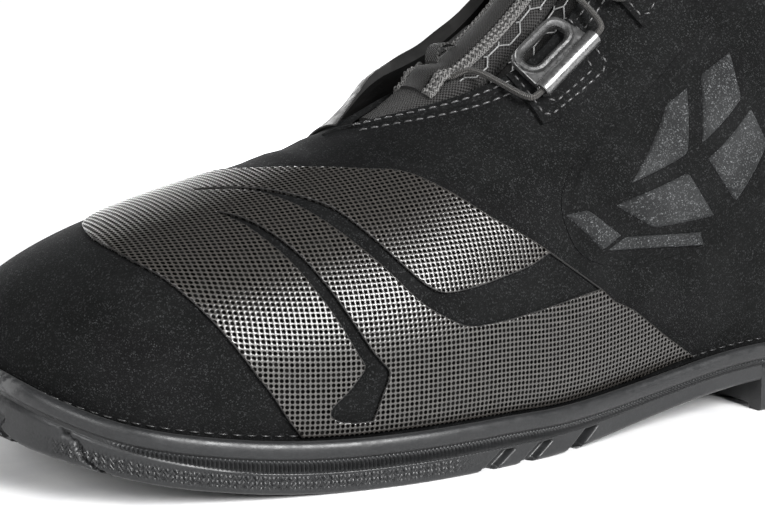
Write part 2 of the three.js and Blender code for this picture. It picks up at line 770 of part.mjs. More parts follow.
// How far a surface curves away from its middle line over half a flat strap's width.
function sag(t, middle, lift, halfWidth) {
  const centre = place(t, middle, lift);
  const out = normal(t, middle);
  const list = steps(0, 60, 120).map((turn) => place(t, middle + turn, lift).sub(centre));
  const edge = list.find((p) => Math.abs(p.y) > halfWidth);
  return -edge.dot(out);
}
const loopIn = liningIn - GAP - LOOP_THICKNESS / 2 - sag(12.5, -90, liningIn, LOOP_WIDTH / 2);
const collarBack = place(COLLAR_STATION, -90, collarLift);
const loopTop = collarBack.z + 2 * COLLAR_RADIUS + GAP + LOOP_RISE;
add('rear_pull_loop', strap([
  place(12.1, -90, loopOut),
  place(12.5, -90, loopOut + 0.2),
  place(12.9, -90, loopOut + 1),
  vector(collarBack.x + COLLAR_RADIUS + 2.6, 0, collarBack.z + COLLAR_RADIUS + 2),
  vector(collarBack.x + COLLAR_RADIUS + 2, 0, loopTop - 5),
  vector(collarBack.x + 0.5, 0, loopTop),
  vector(collarBack.x - COLLAR_RADIUS - 2, 0, loopTop - 5),
  vector(collarBack.x - COLLAR_RADIUS - 2.6, 0, collarBack.z + COLLAR_RADIUS + 2),
  place(12.9, -90, loopIn - 1),
  place(12.5, -90, loopIn - 0.2),
], LOOP_WIDTH, LOOP_THICKNESS, 26), textile);

// ---- tongue ----

const tongueStations = stationsBetween(TONGUE_FROM, TONGUE_TO, HALF_STEP);
const tongueHalf = (t) => Math.min(TONGUE_HALF_ANGLE, 0.78 * throatAngle(t));

add('tongue', weld(layer(
  tongueStations,
  steps(90 - TONGUE_HALF_ANGLE, 90 + TONGUE_HALF_ANGLE, 6),
  (t) => [90 - tongueHalf(t), 90 + tongueHalf(t)],
  (t) => TONGUE_BACK + 2 * (1 - smooth((t - TONGUE_FROM) / 1.5)),
  TONGUE_TOP,
)), textile);

const stripIn = TONGUE_TOP + GAP;
const stripOut = stripIn + STRIP;
const STRIP_HALF = 6.5;
const TAPE_INNER = 7.2;
const TAPE_OUTER = 13;
const tapeStations = stationsBetween(7.1, 13.4, HALF_STEP);

add('tongue_strip', weld(layer(
  tapeStations,
  steps(90 - STRIP_HALF, 90 + STRIP_HALF, 2),
  () => [90 - STRIP_HALF, 90 + STRIP_HALF],
  stripIn,
  stripOut,
)), nubuck);

for (const [name, side] of [['lateral', -1], ['medial', 1]]) {
  add(`tongue_tape_${name}`, weld(layer(
    tapeStations,
    steps(90 + side * TAPE_INNER, 90 + side * TAPE_OUTER, 1).sort((a, b) => a - b),
    () => [0, 180],
    stripIn,
    stripOut + TAPE_PROUD,
  )), textile);
}

// Mesh gussets close the gap between the tongue and the lining on both sides.
const gussetOut = liningIn - LINING_EASE;
const gussetStations = stationsBetween(7.5, 12.9, HALF_STEP);
for (const [name, side] of [['lateral', -1], ['medial', 1]]) {
  const near = TONGUE_HALF_ANGLE + 0.6;
  const far = (t) => throatAngle(t) + 6;
  add(`${name}_gusset`, weld(layer(
    gussetStations,
    steps(90 + side * near, 90 + side * 38, 4).sort((a, b) => a - b),
    (t) => [90 + side * near, 90 + side * far(t)].sort((a, b) => a - b),
    gussetOut - GUSSET,
    gussetOut,
  )), textile);
}

const tongueEnd = place(TONGUE_TO, 90, (TONGUE_BACK + TONGUE_TOP) / 2);
const tongueSag = sag(TONGUE_TO, 90, TONGUE_BACK, TONGUE_TAB_WIDTH / 2);
const tabIn = TONGUE_BACK - 2 * GAP - TONGUE_TAB_THICKNESS / 2 - tongueSag;
const tabOut = TONGUE_TOP + GAP + TONGUE_TAB_THICKNESS / 2 + 0.1;
add('tongue_pull_tab', strap([
  place(TONGUE_TO - 0.35, 90, tabIn),
  place(TONGUE_TO, 90, tabIn),
  tongueEnd.clone().add(vector(3.6, 0, TONGUE_TAB_RISE * 0.6)),
  tongueEnd.clone().add(vector(0, 0, TONGUE_TAB_RISE)),
  tongueEnd.clone().add(vector(-3.6, 0, TONGUE_TAB_RISE * 0.6)),
  place(TONGUE_TO, 90, tabOut),
  place(TONGUE_TO - 0.12, 90, tabOut),
], TONGUE_TAB_WIDTH, TONGUE_TAB_THICKNESS, 18), textile);

// ---- lace guides ----

// One guide in its own frame: x along its tunnel, y across towards the throat, z off the boot.
function guideGeometry() {
  const half = GUIDE_LENGTH / 2;
  const reach = GUIDE_WIDTH / 2;
  const outline = new THREE.Shape();
  outline.moveTo(-half + 1, -reach);
  outline.lineTo(half - 1, -reach);
  outline.lineTo(half - 2, reach - 2.5);
  outline.quadraticCurveTo(half - 2.3, reach, half - 5, reach);
  outline.lineTo(-half + 5, reach);
  outline.quadraticCurveTo(-half + 2.3, reach, -half + 2, reach - 2.5);
  const flat = { depth: GUIDE_PLATE, bevelEnabled: false, curveSegments: 3 };
  const plate = new THREE.ExtrudeGeometry(outline, flat);
  plate.translate(0, 0, -GUIDE_ROLL);
  const slotRadius = GUIDE_SLOT_WIDTH / 2;
  const slotEnd = GUIDE_SLOT_LENGTH / 2 - slotRadius;
  const slotMiddle = reach - GUIDE_RIM - slotRadius;
  const slot = new THREE.Shape();
  slot.absarc(slotEnd, slotMiddle, slotRadius, -Math.PI / 2, Math.PI / 2, false);
  slot.absarc(-slotEnd, slotMiddle, slotRadius, Math.PI / 2, 1.5 * Math.PI, false);
  const slotCut = new THREE.ExtrudeGeometry(slot, { depth: 9, bevelEnabled: false, curveSegments: 4 });
  slotCut.translate(0, 0, -5);
  const bar = (radius, length) => {
    const cylinder = new THREE.CylinderGeometry(radius, radius, length, 12);
    cylinder.rotateZ(Math.PI / 2);
    cylinder.translate(0, -reach, 0);
    return solidOf(cylinder);
  };
  const body = solidOf(plate).add(bar(GUIDE_ROLL, GUIDE_LENGTH));
  return geometryOf(body.subtract(bar(GUIDE_BORE, GUIDE_LENGTH + 4)).subtract(solidOf(slotCut)));
}

const lateralGuideLift = OVERLAY_GAP + TAB + GUIDE_SEAT + GUIDE_ROLL;
const medialGuideLift = OVERLAY_GAP + GUIDE_ROLL;

// The outer guides sit on webbing tabs; the inner ones lie bare under the padded flap.
function guideFrame(side, station) {
  if (side < 0) {
    return seatFrame(station, LATERAL_GUIDE_ANGLE, lateralGuideLift);
  }
  const turned = new THREE.Matrix4().makeRotationZ(Math.PI);
  return seatFrame(station, MEDIAL_GUIDE_ANGLE, medialGuideLift).multiply(turned);
}

const guideShape = guideGeometry();
for (const [name, side] of [['lateral', -1], ['medial', 1]]) {
  GUIDE_STATIONS.forEach((station, i) => {
    const seat = new THREE.Group();
    seat.applyMatrix4(guideFrame(side, station));
    boot.add(seat);
    addTo(seat, `lace_guide_${name}_${i + 1}`, guideShape, gunmetal);
  });
}
GUIDE_STATIONS.forEach((station, i) => {
  const edge = (t) => 90 - throatAngle(t) - SEAM_ANGLE;
  add(`guide_tab_lateral_${i + 1}`, weld(layer(
    steps(station - TAB_REACH, station + TAB_REACH, 2),
    steps(LATERAL_GUIDE_ANGLE - 14, LATERAL_GUIDE_ANGLE + 6, 3),
    (t) => [0, edge(t)],
    OVERLAY_GAP,
    OVERLAY_GAP + TAB,
  )), textile);
});

// ---- closure dial, on the tongue, in its own frame: z out of the boot, x up it ----

const dial = new THREE.Group();
const dialFrame = seatFrame(DIAL_STATION, 90, stripOut + TAPE_PROUD + DIAL_SEAT);
dial.applyMatrix4(dialFrame);
boot.add(dial);

const SPOOL_CORE = 7.8;
const PLATE_TOP = 1.2;
const FLOOR_LOW = PLATE_TOP + GAP;
const FLOOR_TOP = FLOOR_LOW + 1;
const SPOOL_LOW = FLOOR_TOP + DIAL_CLEARANCE;
const SPOOL_TOP = SPOOL_LOW + 3.2;
const DRIVER_LOW = SPOOL_TOP + DIAL_CLEARANCE;
const DRIVER_TOP = DRIVER_LOW + 1.2;
const SPRING_LOW = DRIVER_TOP + 1;
const POST_TOP = SPRING_LOW + 1.6;
const HOUSING_TOP = DRIVER_LOW + 0.8;
const KNOB_LOW = HOUSING_TOP + 0.7;
const KNOB_TOP = KNOB_LOW + 6;
const HEAD_TOP = KNOB_TOP - 0.6;
const rotorRadius = DIAL_HOUSING_RADIUS - 1.8 - DIAL_CLEARANCE;
const rotorBore = DIAL_POST + DIAL_CLEARANCE;

// A turned piece from its profile of radius and height; the profile closes on itself or on the axis.
function turned(name, profile, finish, sides = 24) {
  const onAxis = profile[0][0] === 0;
  const points = (onAxis ? profile : [...profile, profile[0]]).map(([r, h]) => new THREE.Vector2(r, h));
  const geometry = new THREE.LatheGeometry(points, sides);
  geometry.rotateX(Math.PI / 2);
  return addTo(dial, name, geometryOf(solidOf(geometry)), finish);
}

turned('dial_plate', [
  [0, 0], [DIAL_PLATE_RADIUS, 0], [DIAL_PLATE_RADIUS, PLATE_TOP], [0, PLATE_TOP],
], plastic);
turned('dial_housing', [
  [0, FLOOR_LOW], [DIAL_HOUSING_RADIUS, FLOOR_LOW], [DIAL_HOUSING_RADIUS, HOUSING_TOP],
  [DIAL_HOUSING_RADIUS - 1.8, HOUSING_TOP], [DIAL_HOUSING_RADIUS - 1.8, FLOOR_TOP], [DIAL_POST, FLOOR_TOP],
  [DIAL_POST, POST_TOP], [SCREW_SHANK + DIAL_CLEARANCE, POST_TOP], [SCREW_SHANK + DIAL_CLEARANCE, FLOOR_TOP],
  [0, FLOOR_TOP],
], plastic);
turned('dial_spool', [
  [rotorBore, SPOOL_LOW], [rotorRadius, SPOOL_LOW],
  [rotorRadius, SPOOL_LOW + 0.8], [SPOOL_CORE, SPOOL_LOW + 1.1],
  [SPOOL_CORE, SPOOL_TOP - 1.1], [rotorRadius, SPOOL_TOP - 0.8],
  [rotorRadius, SPOOL_TOP], [rotorBore, SPOOL_TOP],
], plastic);
turned('dial_driver', [
  [rotorBore, DRIVER_LOW], [rotorRadius, DRIVER_LOW], [rotorRadius, DRIVER_TOP], [6.5, DRIVER_TOP],
  [6.5, SPRING_LOW - GAP], [rotorBore, SPRING_LOW - GAP],
], plastic);
turned('dial_spring', [
  [rotorBore, SPRING_LOW], [6.4, SPRING_LOW], [6.4, SPRING_LOW + 0.7], [rotorBore, SPRING_LOW + 0.7],
], steel);
turned('dial_knob', [
  [DIAL_RADIUS - 2.5, KNOB_LOW], [DIAL_RADIUS, KNOB_LOW], [DIAL_RADIUS - 0.4, KNOB_TOP - 1],
  [DIAL_RADIUS - 1.6, KNOB_TOP], [SCREW_HEAD + DIAL_CLEARANCE, KNOB_TOP],
  [SCREW_HEAD + DIAL_CLEARANCE, KNOB_TOP - 2], [DIAL_RADIUS - 2.5, KNOB_TOP - 2],
], plastic);
turned('dial_screw', [
  [0, FLOOR_TOP + GAP], [SCREW_SHANK, FLOOR_TOP + GAP], [SCREW_SHANK, POST_TOP + GAP],
  [SCREW_HEAD, POST_TOP + GAP], [SCREW_HEAD, HEAD_TOP - 0.6], [SCREW_HEAD - 0.8, HEAD_TOP], [0, HEAD_TOP],
], steel);

// ---- lace: one cord from the spool through every guide and back ----

const laceHeight = (SPOOL_LOW + SPOOL_TOP) / 2;
const laceExit = (side, radius, drop = 0) => {
  const turn = radians(50);
  const down = -radius * Math.cos(turn);
  return vector(down, side * radius * Math.sin(turn), laceHeight - drop).applyMatrix4(dialFrame);
};

// Through a guide's tunnel, upwards or downwards, with a lead at each end.
function throughGuide(side, i, upwards) {
  const half = GUIDE_LENGTH / 2;
  const frame = guideFrame(side, GUIDE_STATIONS[i]);
  const stops = [
    [-half - GUIDE_LEAD, 0.6, 0.3], [-half - LACE_RADIUS, 0, 0], [-half + GUIDE_LEAD, 0, 0], [0, 0, 0],
  ];
  const list = [...stops, ...stops.slice(0, 3).reverse().map(([x, y, z]) => [-x, y, z])];
  const ordered = list.map(([x, y, z]) => vector(x, y - GUIDE_WIDTH / 2, z).applyMatrix4(frame));
  const startsLow = side < 0;
  return upwards === startsLow ? ordered : ordered.reverse();
}

// Across the tongue from one side to the other; the lift at the ridge tells which strand passes over.
function across(side, from, to, lift) {
  const share = [0.3, 0.5, 0.7];
  return share.map((f) => {
    const t = from + (to - from) * f;
    const a = 90 + side * (0.5 - f) * 80;
    return place(t, a, f === 0.5 ? lift : (lift + 2.3) / 2 + 0.3);
  });
}

const [low, middle, high] = GUIDE_STATIONS;
const UNDER = 1.9;
const OVER = 4.1;
const route = [
  laceExit(-1, DIAL_HOUSING_RADIUS + 0.4),
  laceExit(-1, DIAL_HOUSING_RADIUS + 4, 1.5),
  ...throughGuide(-1, 2, false),
  ...across(-1, high - 0.7, middle + 0.7, OVER),
  ...throughGuide(1, 1, false),
  ...across(1, middle - 0.7, low + 0.6, OVER),
  ...throughGuide(-1, 0, false),
  place(7.42, 74, 2.4),
  place(7.25, 84, UNDER),
  place(7.22, 90, UNDER),
  place(7.25, 96, UNDER),
  place(7.42, 106, 2.4),
  ...throughGuide(1, 0, true),
  ...across(1, low + 0.6, middle - 0.7, UNDER),
  ...throughGuide(-1, 1, true),
  ...across(-1, middle + 0.7, high - 0.7, UNDER),
  ...throughGuide(1, 2, true),
  laceExit(1, DIAL_HOUSING_RADIUS + 4, 1.5),
  laceExit(1, DIAL_HOUSING_RADIUS + 0.4),
];
add('lace', tube(route, LACE_RADIUS, LACE_SIDES, LACE_STEPS), cord);

export default boot;
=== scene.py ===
import math

import bmesh
import bpy
import numpy as np
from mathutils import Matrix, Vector


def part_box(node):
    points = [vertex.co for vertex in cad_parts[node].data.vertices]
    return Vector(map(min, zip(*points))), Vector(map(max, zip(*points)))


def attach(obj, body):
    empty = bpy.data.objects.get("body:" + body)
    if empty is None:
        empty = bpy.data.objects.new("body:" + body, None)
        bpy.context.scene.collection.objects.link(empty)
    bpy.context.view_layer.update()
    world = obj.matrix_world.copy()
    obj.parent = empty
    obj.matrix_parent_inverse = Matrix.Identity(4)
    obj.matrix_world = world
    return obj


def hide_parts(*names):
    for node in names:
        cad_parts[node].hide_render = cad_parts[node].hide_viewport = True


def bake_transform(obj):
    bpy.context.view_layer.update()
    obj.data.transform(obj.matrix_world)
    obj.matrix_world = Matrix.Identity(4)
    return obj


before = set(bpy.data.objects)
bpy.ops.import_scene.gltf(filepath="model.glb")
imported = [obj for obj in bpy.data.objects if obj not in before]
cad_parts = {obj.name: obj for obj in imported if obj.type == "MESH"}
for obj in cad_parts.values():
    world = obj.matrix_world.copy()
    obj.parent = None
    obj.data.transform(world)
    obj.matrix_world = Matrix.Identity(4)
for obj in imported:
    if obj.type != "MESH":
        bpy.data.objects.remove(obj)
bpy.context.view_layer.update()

MM = 0.001
SOLE_LOW, SOLE_HIGH = (np.array(corner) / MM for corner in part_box("outsole"))

# ---- camera ----

CAMERA_TARGET = Vector((-0.04495, -0.020, 0.05072))
CAMERA_AZIMUTH = math.radians(-29.78)
CAMERA_ELEVATION = math.radians(10.03)
CAMERA_DISTANCE = 0.440
CAMERA_LENS = 80.47


def add_camera():
    back = Vector((
        math.sin(CAMERA_AZIMUTH) * math.cos(CAMERA_ELEVATION),
        -math.cos(CAMERA_AZIMUTH) * math.cos(CAMERA_ELEVATION),
        math.sin(CAMERA_ELEVATION),
    ))
    camera = bpy.data.objects.new("camera", bpy.data.cameras.new("camera"))
    camera.location = CAMERA_TARGET + back * CAMERA_DISTANCE
    camera.rotation_euler = (-back).to_track_quat("-Z", "Y").to_euler()
    camera.data.lens = CAMERA_LENS
    camera.data.sensor_width = 36
    camera.data.clip_start = 0.01
    bpy.context.scene.collection.objects.link(camera)
    bpy.context.scene.camera = camera


add_camera()

# ---- the last: station t from toe to collar, angle a round the section ----
# 0 is the outer side, 90 the ridge or shin, 180 the inner side, -90 the bottom or back of the heel.

BOOT_LENGTH = SOLE_HIGH[0] - SOLE_LOW[0]
BOOT_WIDTH = 107.0
LAST_LENGTH = 302.0
LAST_WIDTH = 107.0
LAST = np.array([
    [4.5, 30, 4.5, 30, 0, 0, 10, 0.45, 2, 2.2],
    [7.5, 41, 7.5, 20, 17, 17, 10, 0.42, 2, 2.4],
    [16, 49.8, 16, 16, 32, 29.5, 9, 0.4, 2.05, 2.6],
    [31, 57.8, 31, 6, 44.5, 37.5, 8, 0.45, 2.1, 3.4],
    [52, 64.8, 52, 3, 51, 42, 8, 0.44, 2.1, 4.2],
    [78, 71.8, 78, 1.5, 55, 43, 7.5, 0.42, 2.1, 4.6],
    [104, 80, 106, 1.5, 56, 43, 6, 0.38, 2, 4.6],
    [127, 92, 140, 2.5, 52, 40, 4, 0.35, 1.9, 4.6],
    [148, 107.5, 186, 6, 44.5, 37.5, 2, 0.33, 1.9, 4.2],
    [165.5, 127, 246, 4, 40.5, 36, 1, 0.38, 2, 4.6],
    [177, 148, 294, 17, 39, 36, 0, 0.47, 2.1, 3.4],
    [184, 166, 299.5, 66, 38.5, 37, 0, 0.48, 2.15, 2.4],
    [188.5, 181, 294, 127, 38.5, 37.5, 0, 0.5, 2.2, 2.2],
    [191, 192, 291.5, 186, 39, 38.5, 0, 0.5, 2.2, 2.2],
    [192.5, 206, 290.5, 200, 39.5, 39, 0, 0.5, 2.2, 2.2],
])
LENGTH_SCALE = BOOT_LENGTH / LAST_LENGTH
WIDTH_SCALE = BOOT_WIDTH / LAST_WIDTH


def smooth(x):
    u = np.clip(x, 0, 1)
    return 3 * u * u - 2 * u ** 3


def spline(p0, p1, p2, p3, f):
    """A smooth line between p1 and p2."""
    cube = (3 * p1 - p0 - 3 * p2 + p3) * f ** 3
    return 0.5 * (2 * p1 + (p2 - p0) * f + (2 * p0 - 5 * p1 + 4 * p2 - p3) * f ** 2 + cube)


def padded_rows():
    """The last's rows with one more at each end; the toe's pole mirrors the row after it."""
    pole, after = LAST[0], LAST[1]
    before = after.copy()
    before[[1, 3]] = 2 * pole[[1, 3]] - after[[1, 3]]
    before[[4, 5]] = -after[[4, 5]]
    return np.vstack([before, LAST, 2 * LAST[-1] - LAST[-2]])


ROWS = padded_rows()


def surface(t, a):
    """Points of the last."""
    t, a = np.broadcast_arrays(np.asarray(t, float), np.asarray(a, float))
    i = np.clip(np.floor(t), 0, len(LAST) - 2).astype(int)
    f = (t - i)[..., None]
    row = spline(ROWS[i], ROWS[i + 1], ROWS[i + 2], ROWS[i + 3], f)
    s_top, z_top, s_low, z_low, outer, inner, ridge, share, above, below = np.moveaxis(row, -1, 0)
    c, s = np.cos(np.radians(a)), np.sin(np.radians(a))
    power = np.where(s >= 0, above, below)
    reach = (np.abs(c) ** power + np.abs(s) ** power) ** (-1 / power)
    height = share + np.where(s >= 0, 1 - share, share) * s * reach
    return np.stack([
        (s_low + (s_top - s_low) * height) * LENGTH_SCALE - BOOT_LENGTH / 2,
        (ridge - c * reach * np.where(c >= 0, outer, inner)) * WIDTH_SCALE,
        z_low + (z_top - z_low) * height,
    ], axis=-1)


def unit(v):
    return v / np.maximum(np.linalg.norm(v, axis=-1, keepdims=True), 1e-9)


def normal(t, a):
    t, a = np.broadcast_arrays(np.asarray(t, float), np.asarray(a, float))
    onward = surface(t + 1e-3, a) - surface(t - 1e-3, a)
    around = surface(t, a + 0.05) - surface(t, a - 0.05)
    out = unit(np.cross(onward, around))
    return np.where(t[..., None] < 1e-6, (-1.0, 0.0, 0.0), out)


def place(t, a, lift=0.0):
    """The point at station t and angle a, lifted off the last."""
    return surface(t, a) + normal(t, a) * np.asarray(lift, float)[..., None]


def seat_frame(t, a, lift):
    """A frame on the last: x up the boot along the stations, z away from the foot."""
    z = normal(t, a)
    x = surface(t + 1e-2, a) - surface(t - 1e-2, a)
    x = unit(x - z * np.dot(x, z))
    y = np.cross(z, x)
    seat = np.eye(4)
    seat[:3, 0], seat[:3, 1], seat[:3, 2], seat[:3, 3] = x, y, z, place(t, a, lift)
    return seat


def moved(points, seat):
    return np.asarray(points) @ seat[:3, :3].T + seat[:3, 3]


# ---- heights of the sole at distance s from the toe ----

HEEL_BREAST = 216.5


def station_s(x):
    return (x + BOOT_LENGTH / 2) / LENGTH_SCALE


def underside(s):
    return 16.5 * (np.maximum(88 - s, 0) / 88) ** 2 + 9 * smooth((s - 135) / 84)


def wall_height(s):
    return 13.2 - 2.4 * smooth((s - 120) / 70)


def heel_cup(s):
    return 6 * smooth((s - 235) / 60)


def sole_top(s):
    return underside(s) + wall_height(s) + 5 * (np.maximum(30 - s, 0) / 30) ** 2 + heel_cup(s)


def feather(s):
    return underside(s) + wall_height(s) + heel_cup(s) - 6


def ground(s):
    return np.where(s > HEEL_BREAST, 0.0, underside(s))


def cup_floor(s):
    heel = smooth((s - 222) / 24)
    return (underside(s) + 3.5) * (1 - heel) + 5 * heel


def edge_angle(t, side, height=feather):
    """Where a section crosses a height line, or the bottom where it all lies above it."""
    t = np.asarray(t, float)
    low = np.full(t.shape, -90.0 if side < 0 else 270.0)
    high = np.full(t.shape, 0.0 if side < 0 else 180.0)

    def above(a):
        p = surface(t, a)
        return p[..., 2] - height(station_s(p[..., 0]))

    clear = above(low) >= 0
    bottom = low.copy()
    for _ in range(32):
        middle = (low + high) / 2
        over = above(middle) > 0
        high = np.where(over, middle, high)
        low = np.where(over, low, middle)
    return np.where(clear, bottom, high)


THROAT_STATION = 6.1


def throat_angle(t):
    closed = 1 - np.clip((np.asarray(t, float) - THROAT_STATION) / 2.2, 0, 1)
    return 28 * (1 - closed * closed)


# ---- layers of the upper, as lifts off the last ----

SHELL = 1.6
LINING_OUT = -3.9
LINING_IN = -5.5
OVERLAY_GAP = 0.5
TONGUE_TOP = -1.0
TONGUE_BACK = -9.5
COLLAR_STATION = 13.0

# ---- meshes ----


def grid_faces(rows, columns, around=False, first=0):
    """Quads of a grid of points stored row by row; around closes each row on itself."""
    i = np.arange(rows - 1)[:, None]
    j = np.arange(columns if around else columns - 1)[None, :]
    k = (j + 1) % columns
    corners = [i * columns + j, i * columns + k, (i + 1) * columns + k, (i + 1) * columns + j]
    return np.stack([c.ravel() for c in np.broadcast_arrays(*corners)], axis=1) + first


def capped_faces(rows, sides):
    """Faces of a tube of rings with a flat cap at each end."""
    last = (rows - 1) * sides
    caps = [list(range(sides))[::-1], list(range(last, last + sides))]
    return grid_faces(rows, sides, around=True).tolist() + caps


def slab(front, back):
    """Points and faces of a closed slab between two grids of points."""
    rows, columns = front.shape[:2]
    ring = np.concatenate([front, back[:, ::-1]], axis=1)
    faces = [grid_faces(rows, 2 * columns, around=True)]
    j = np.arange(columns - 1)
    for start, turn in ((0, 1), ((rows - 1) * 2 * columns, -1)):
        cap = np.stack([j, j + 1, 2 * columns - 2 - j, 2 * columns - 1 - j], axis=1) + start
        faces.append(cap[:, ::-turn])
    return ring.reshape(-1, 3), np.concatenate(faces)


def joined(parts):
    """Several (points, faces) as one."""
    points, faces, count = [], [], 0
    for some_points, some_faces in parts:
        some_points = np.asarray(some_points, float).reshape(-1, 3)
        points.append(some_points)
        faces.extend([int(corner) + count for corner in face] for face in some_faces)
        count += len(some_points)
    return np.concatenate(points), faces


def mesh_object(name, shape, material, body="boot", uv=None, sharp=45, weld=False):
    """A finished piece: millimetre points to metres, material, shading and the body it rides on."""
    points, faces = shape
    mesh = bpy.data.meshes.new(name)
    mesh.from_pydata((np.asarray(points, float) * MM).tolist(), [], [list(map(int, f)) for f in faces])
    if uv is not None:
        layer = mesh.uv_layers.new(name="UVMap")
        corner = np.empty(len(mesh.loops), dtype=np.int32)
        mesh.loops.foreach_get("vertex_index", corner)
        layer.data.foreach_set("uv", np.asarray(uv, np.float32)[corner].ravel())
    if weld:
        work = bmesh.new()
        work.from_mesh(mesh)
        bmesh.ops.remove_doubles(work, verts=work.verts, dist=1e-6)
        bmesh.ops.recalc_face_normals(work, faces=work.faces)
        work.to_mesh(mesh)
        work.free()
    mesh.validate()
    mesh.shade_smooth()
    if sharp:
        mesh.set_sharp_from_angle(angle=math.radians(sharp))
    mesh.materials.append(material)
    piece = bpy.data.objects.new(name, mesh)
    bpy.context.scene.collection.objects.link(piece)
    if body:
        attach(piece, body)
    return piece


def arc(points):
    """Length along a line of points, from its start to each point."""
    steps = np.linalg.norm(np.diff(points, axis=0), axis=-1)
    return np.concatenate([[0.0], np.cumsum(steps)])


def resampled(points, count):
    length = arc(points)
    at = np.linspace(0, length[-1], count)
    return np.stack([np.interp(at, length, points[:, k]) for k in range(points.shape[1])], axis=-1)


def curve_through(points, per_span=12):
    """A centripetal Catmull-Rom line through points."""
    points = np.asarray(points, float)
    ends = np.vstack([2 * points[0] - points[1], points, 2 * points[-1] - points[-2]])
    line = []
    for k in range(len(points) - 1):
        p = ends[k:k + 4]
        knots = np.concatenate([[0], np.cumsum(np.sqrt(np.linalg.norm(np.diff(p, axis=0), axis=1)))])
        t = np.linspace(knots[1], knots[2], per_span, endpoint=False)[:, None]

        def blend(a, b, ta, tb):
            return (tb - t) / (tb - ta) * a + (t - ta) / (tb - ta) * b

        a1, a2, a3 = (blend(p[n], p[n + 1], knots[n], knots[n + 1]) for n in range(3))
        b1, b2 = blend(a1, a2, knots[0], knots[2]), blend(a2, a3, knots[1], knots[3])
        line.append(blend(b1, b2, knots[1], knots[2]))
    line.append(points[-1:])
    return np.concatenate(line)


def sweep(line, radius, sides=10, up=None, wide=1.0):
    """A tube along a line of points, with flat caps; radius may vary along it."""
    run = unit(np.gradient(line, axis=0))
    radius = np.broadcast_to(np.asarray(radius, float), (len(line),))
    if up is None:
        side = np.zeros_like(run)
        start = np.cross(run[0], (0.3, 0.9, 0.2))
        side[0] = unit(start)
        for k in range(1, len(line)):
            side[k] = unit(side[k - 1] - run[k] * np.dot(side[k - 1], run[k]))
    else:
        side = unit(np.cross(run, np.broadcast_to(up, run.shape)))
    top = np.cross(side, run)
    turn = np.linspace(0, 2 * np.pi, sides, endpoint=False)
    ring = side[:, None] * np.cos(turn)[None, :, None] * wide + top[:, None] * np.sin(turn)[None, :, None]
    points = (line[:, None] + ring * radius[:, None, None]).reshape(-1, 3)
    return points, capped_faces(len(line), sides)


def turned(profile, sides=96, wave=None):
    """A body turned about z from a closed profile of (radius, height); wave changes the radius by angle."""
    angle = np.linspace(0, 2 * np.pi, sides, endpoint=False)
    rows = []
    for radius, height, grip in profile:
        r = radius + (wave(angle) * grip if wave else 0.0) * np.ones(sides)
        rows.append(np.stack([r * np.cos(angle), r * np.sin(angle), np.full(sides, height)], axis=-1))
    rows.append(rows[0])
    grid = np.array(rows)
    return grid.reshape(-1, 3), grid_faces(len(rows), sides, around=True)


# ---- materials ----


class Look:
    """A procedural material under construction: its shader and short ways to add nodes."""

    def __init__(self, name, color, roughness, metallic=0.0, **sockets):
        self.material = bpy.data.materials.new(name)
        self.material.use_nodes = True
        self.tree = self.material.node_tree
        self.shader = self.tree.nodes["Principled BSDF"]
        self.set("Base Color", color)
        self.set("Roughness", roughness)
        self.set("Metallic", metallic)
        for socket, value in sockets.items():
            self.set(socket.replace("_", " "), value)
        self.object = self.tree.nodes.new("ShaderNodeTexCoord").outputs["Object"]

    def put(self, socket, value):
        if isinstance(value, bpy.types.NodeSocket):
            self.tree.links.new(value, socket)
        elif isinstance(value, (tuple, list)) and len(value) == 3 and socket.type == "RGBA":
            socket.default_value = (*value, 1)
        else:
            socket.default_value = value

    def set(self, name, value):
        if not isinstance(value, (tuple, list, bpy.types.NodeSocket)) and self.shader.inputs[name].type == "RGBA":
            value = (value, value, value)
        self.put(self.shader.inputs[name], value)

    def node(self, kind, inputs=(), **settings):
        node = self.tree.nodes.new("ShaderNode" + kind)
        for key, value in settings.items():
            setattr(node, key, value)
        for socket, value in dict(inputs).items():
            self.put(node.inputs[socket], value)
        return node

    def math(self, operation, a, b=0.0):
        return self.node("Math", {0: a, 1: b}, operation=operation).outputs[0]

    def times(self, a, b):
        return self.math("MULTIPLY", a, b)

    def plus(self, a, b):
        return self.math("ADD", a, b)

    def noise(self, scale, detail=3.0, roughness=0.5):
        node = self.node("TexNoise", {"Scale": scale, "Detail": detail, "Roughness": roughness,
                                      "Vector": self.object})
        return node.outputs["Fac"]

    def cells(self, scale, feature="F1", output="Distance"):
        node = self.node("TexVoronoi", {"Scale": scale, "Vector": self.object}, feature=feature)
        return node.outputs[output]

    def span(self, value, low, high, to_low=0.0, to_high=1.0):
        node = self.node("MapRange", {"Value": value, "From Min": low, "From Max": high,
                                      "To Min": to_low, "To Max": to_high})
        node.interpolation_type = "SMOOTHSTEP"
        return node.outputs[0]

    def mix(self, factor, a, b):
        node = self.node("Mix", {0: factor}, data_type="RGBA")
        a = (a, a, a) if isinstance(a, float) else a
        b = (b, b, b) if isinstance(b, float) else b
        self.put(node.inputs[6], a)
        self.put(node.inputs[7], b)
        return node.outputs[2]

    def bump(self, height, distance, strength=1.0):
        """Adds relief of some depth, in millimetres, on top of what is there."""
        socket = self.shader.inputs["Normal"]
        before = socket.links[0].from_socket if socket.is_linked else None
        node = self.node("Bump", {"Height": height, "Distance": distance * MM, "Strength": strength})
        if before:
            self.put(node.inputs["Normal"], before)
        self.put(socket, node.outputs[0])

    def uv(self):
        split = self.node("SeparateXYZ", {0: self.node("UVMap").outputs[0]})
        return split.outputs[0], split.outputs[1]


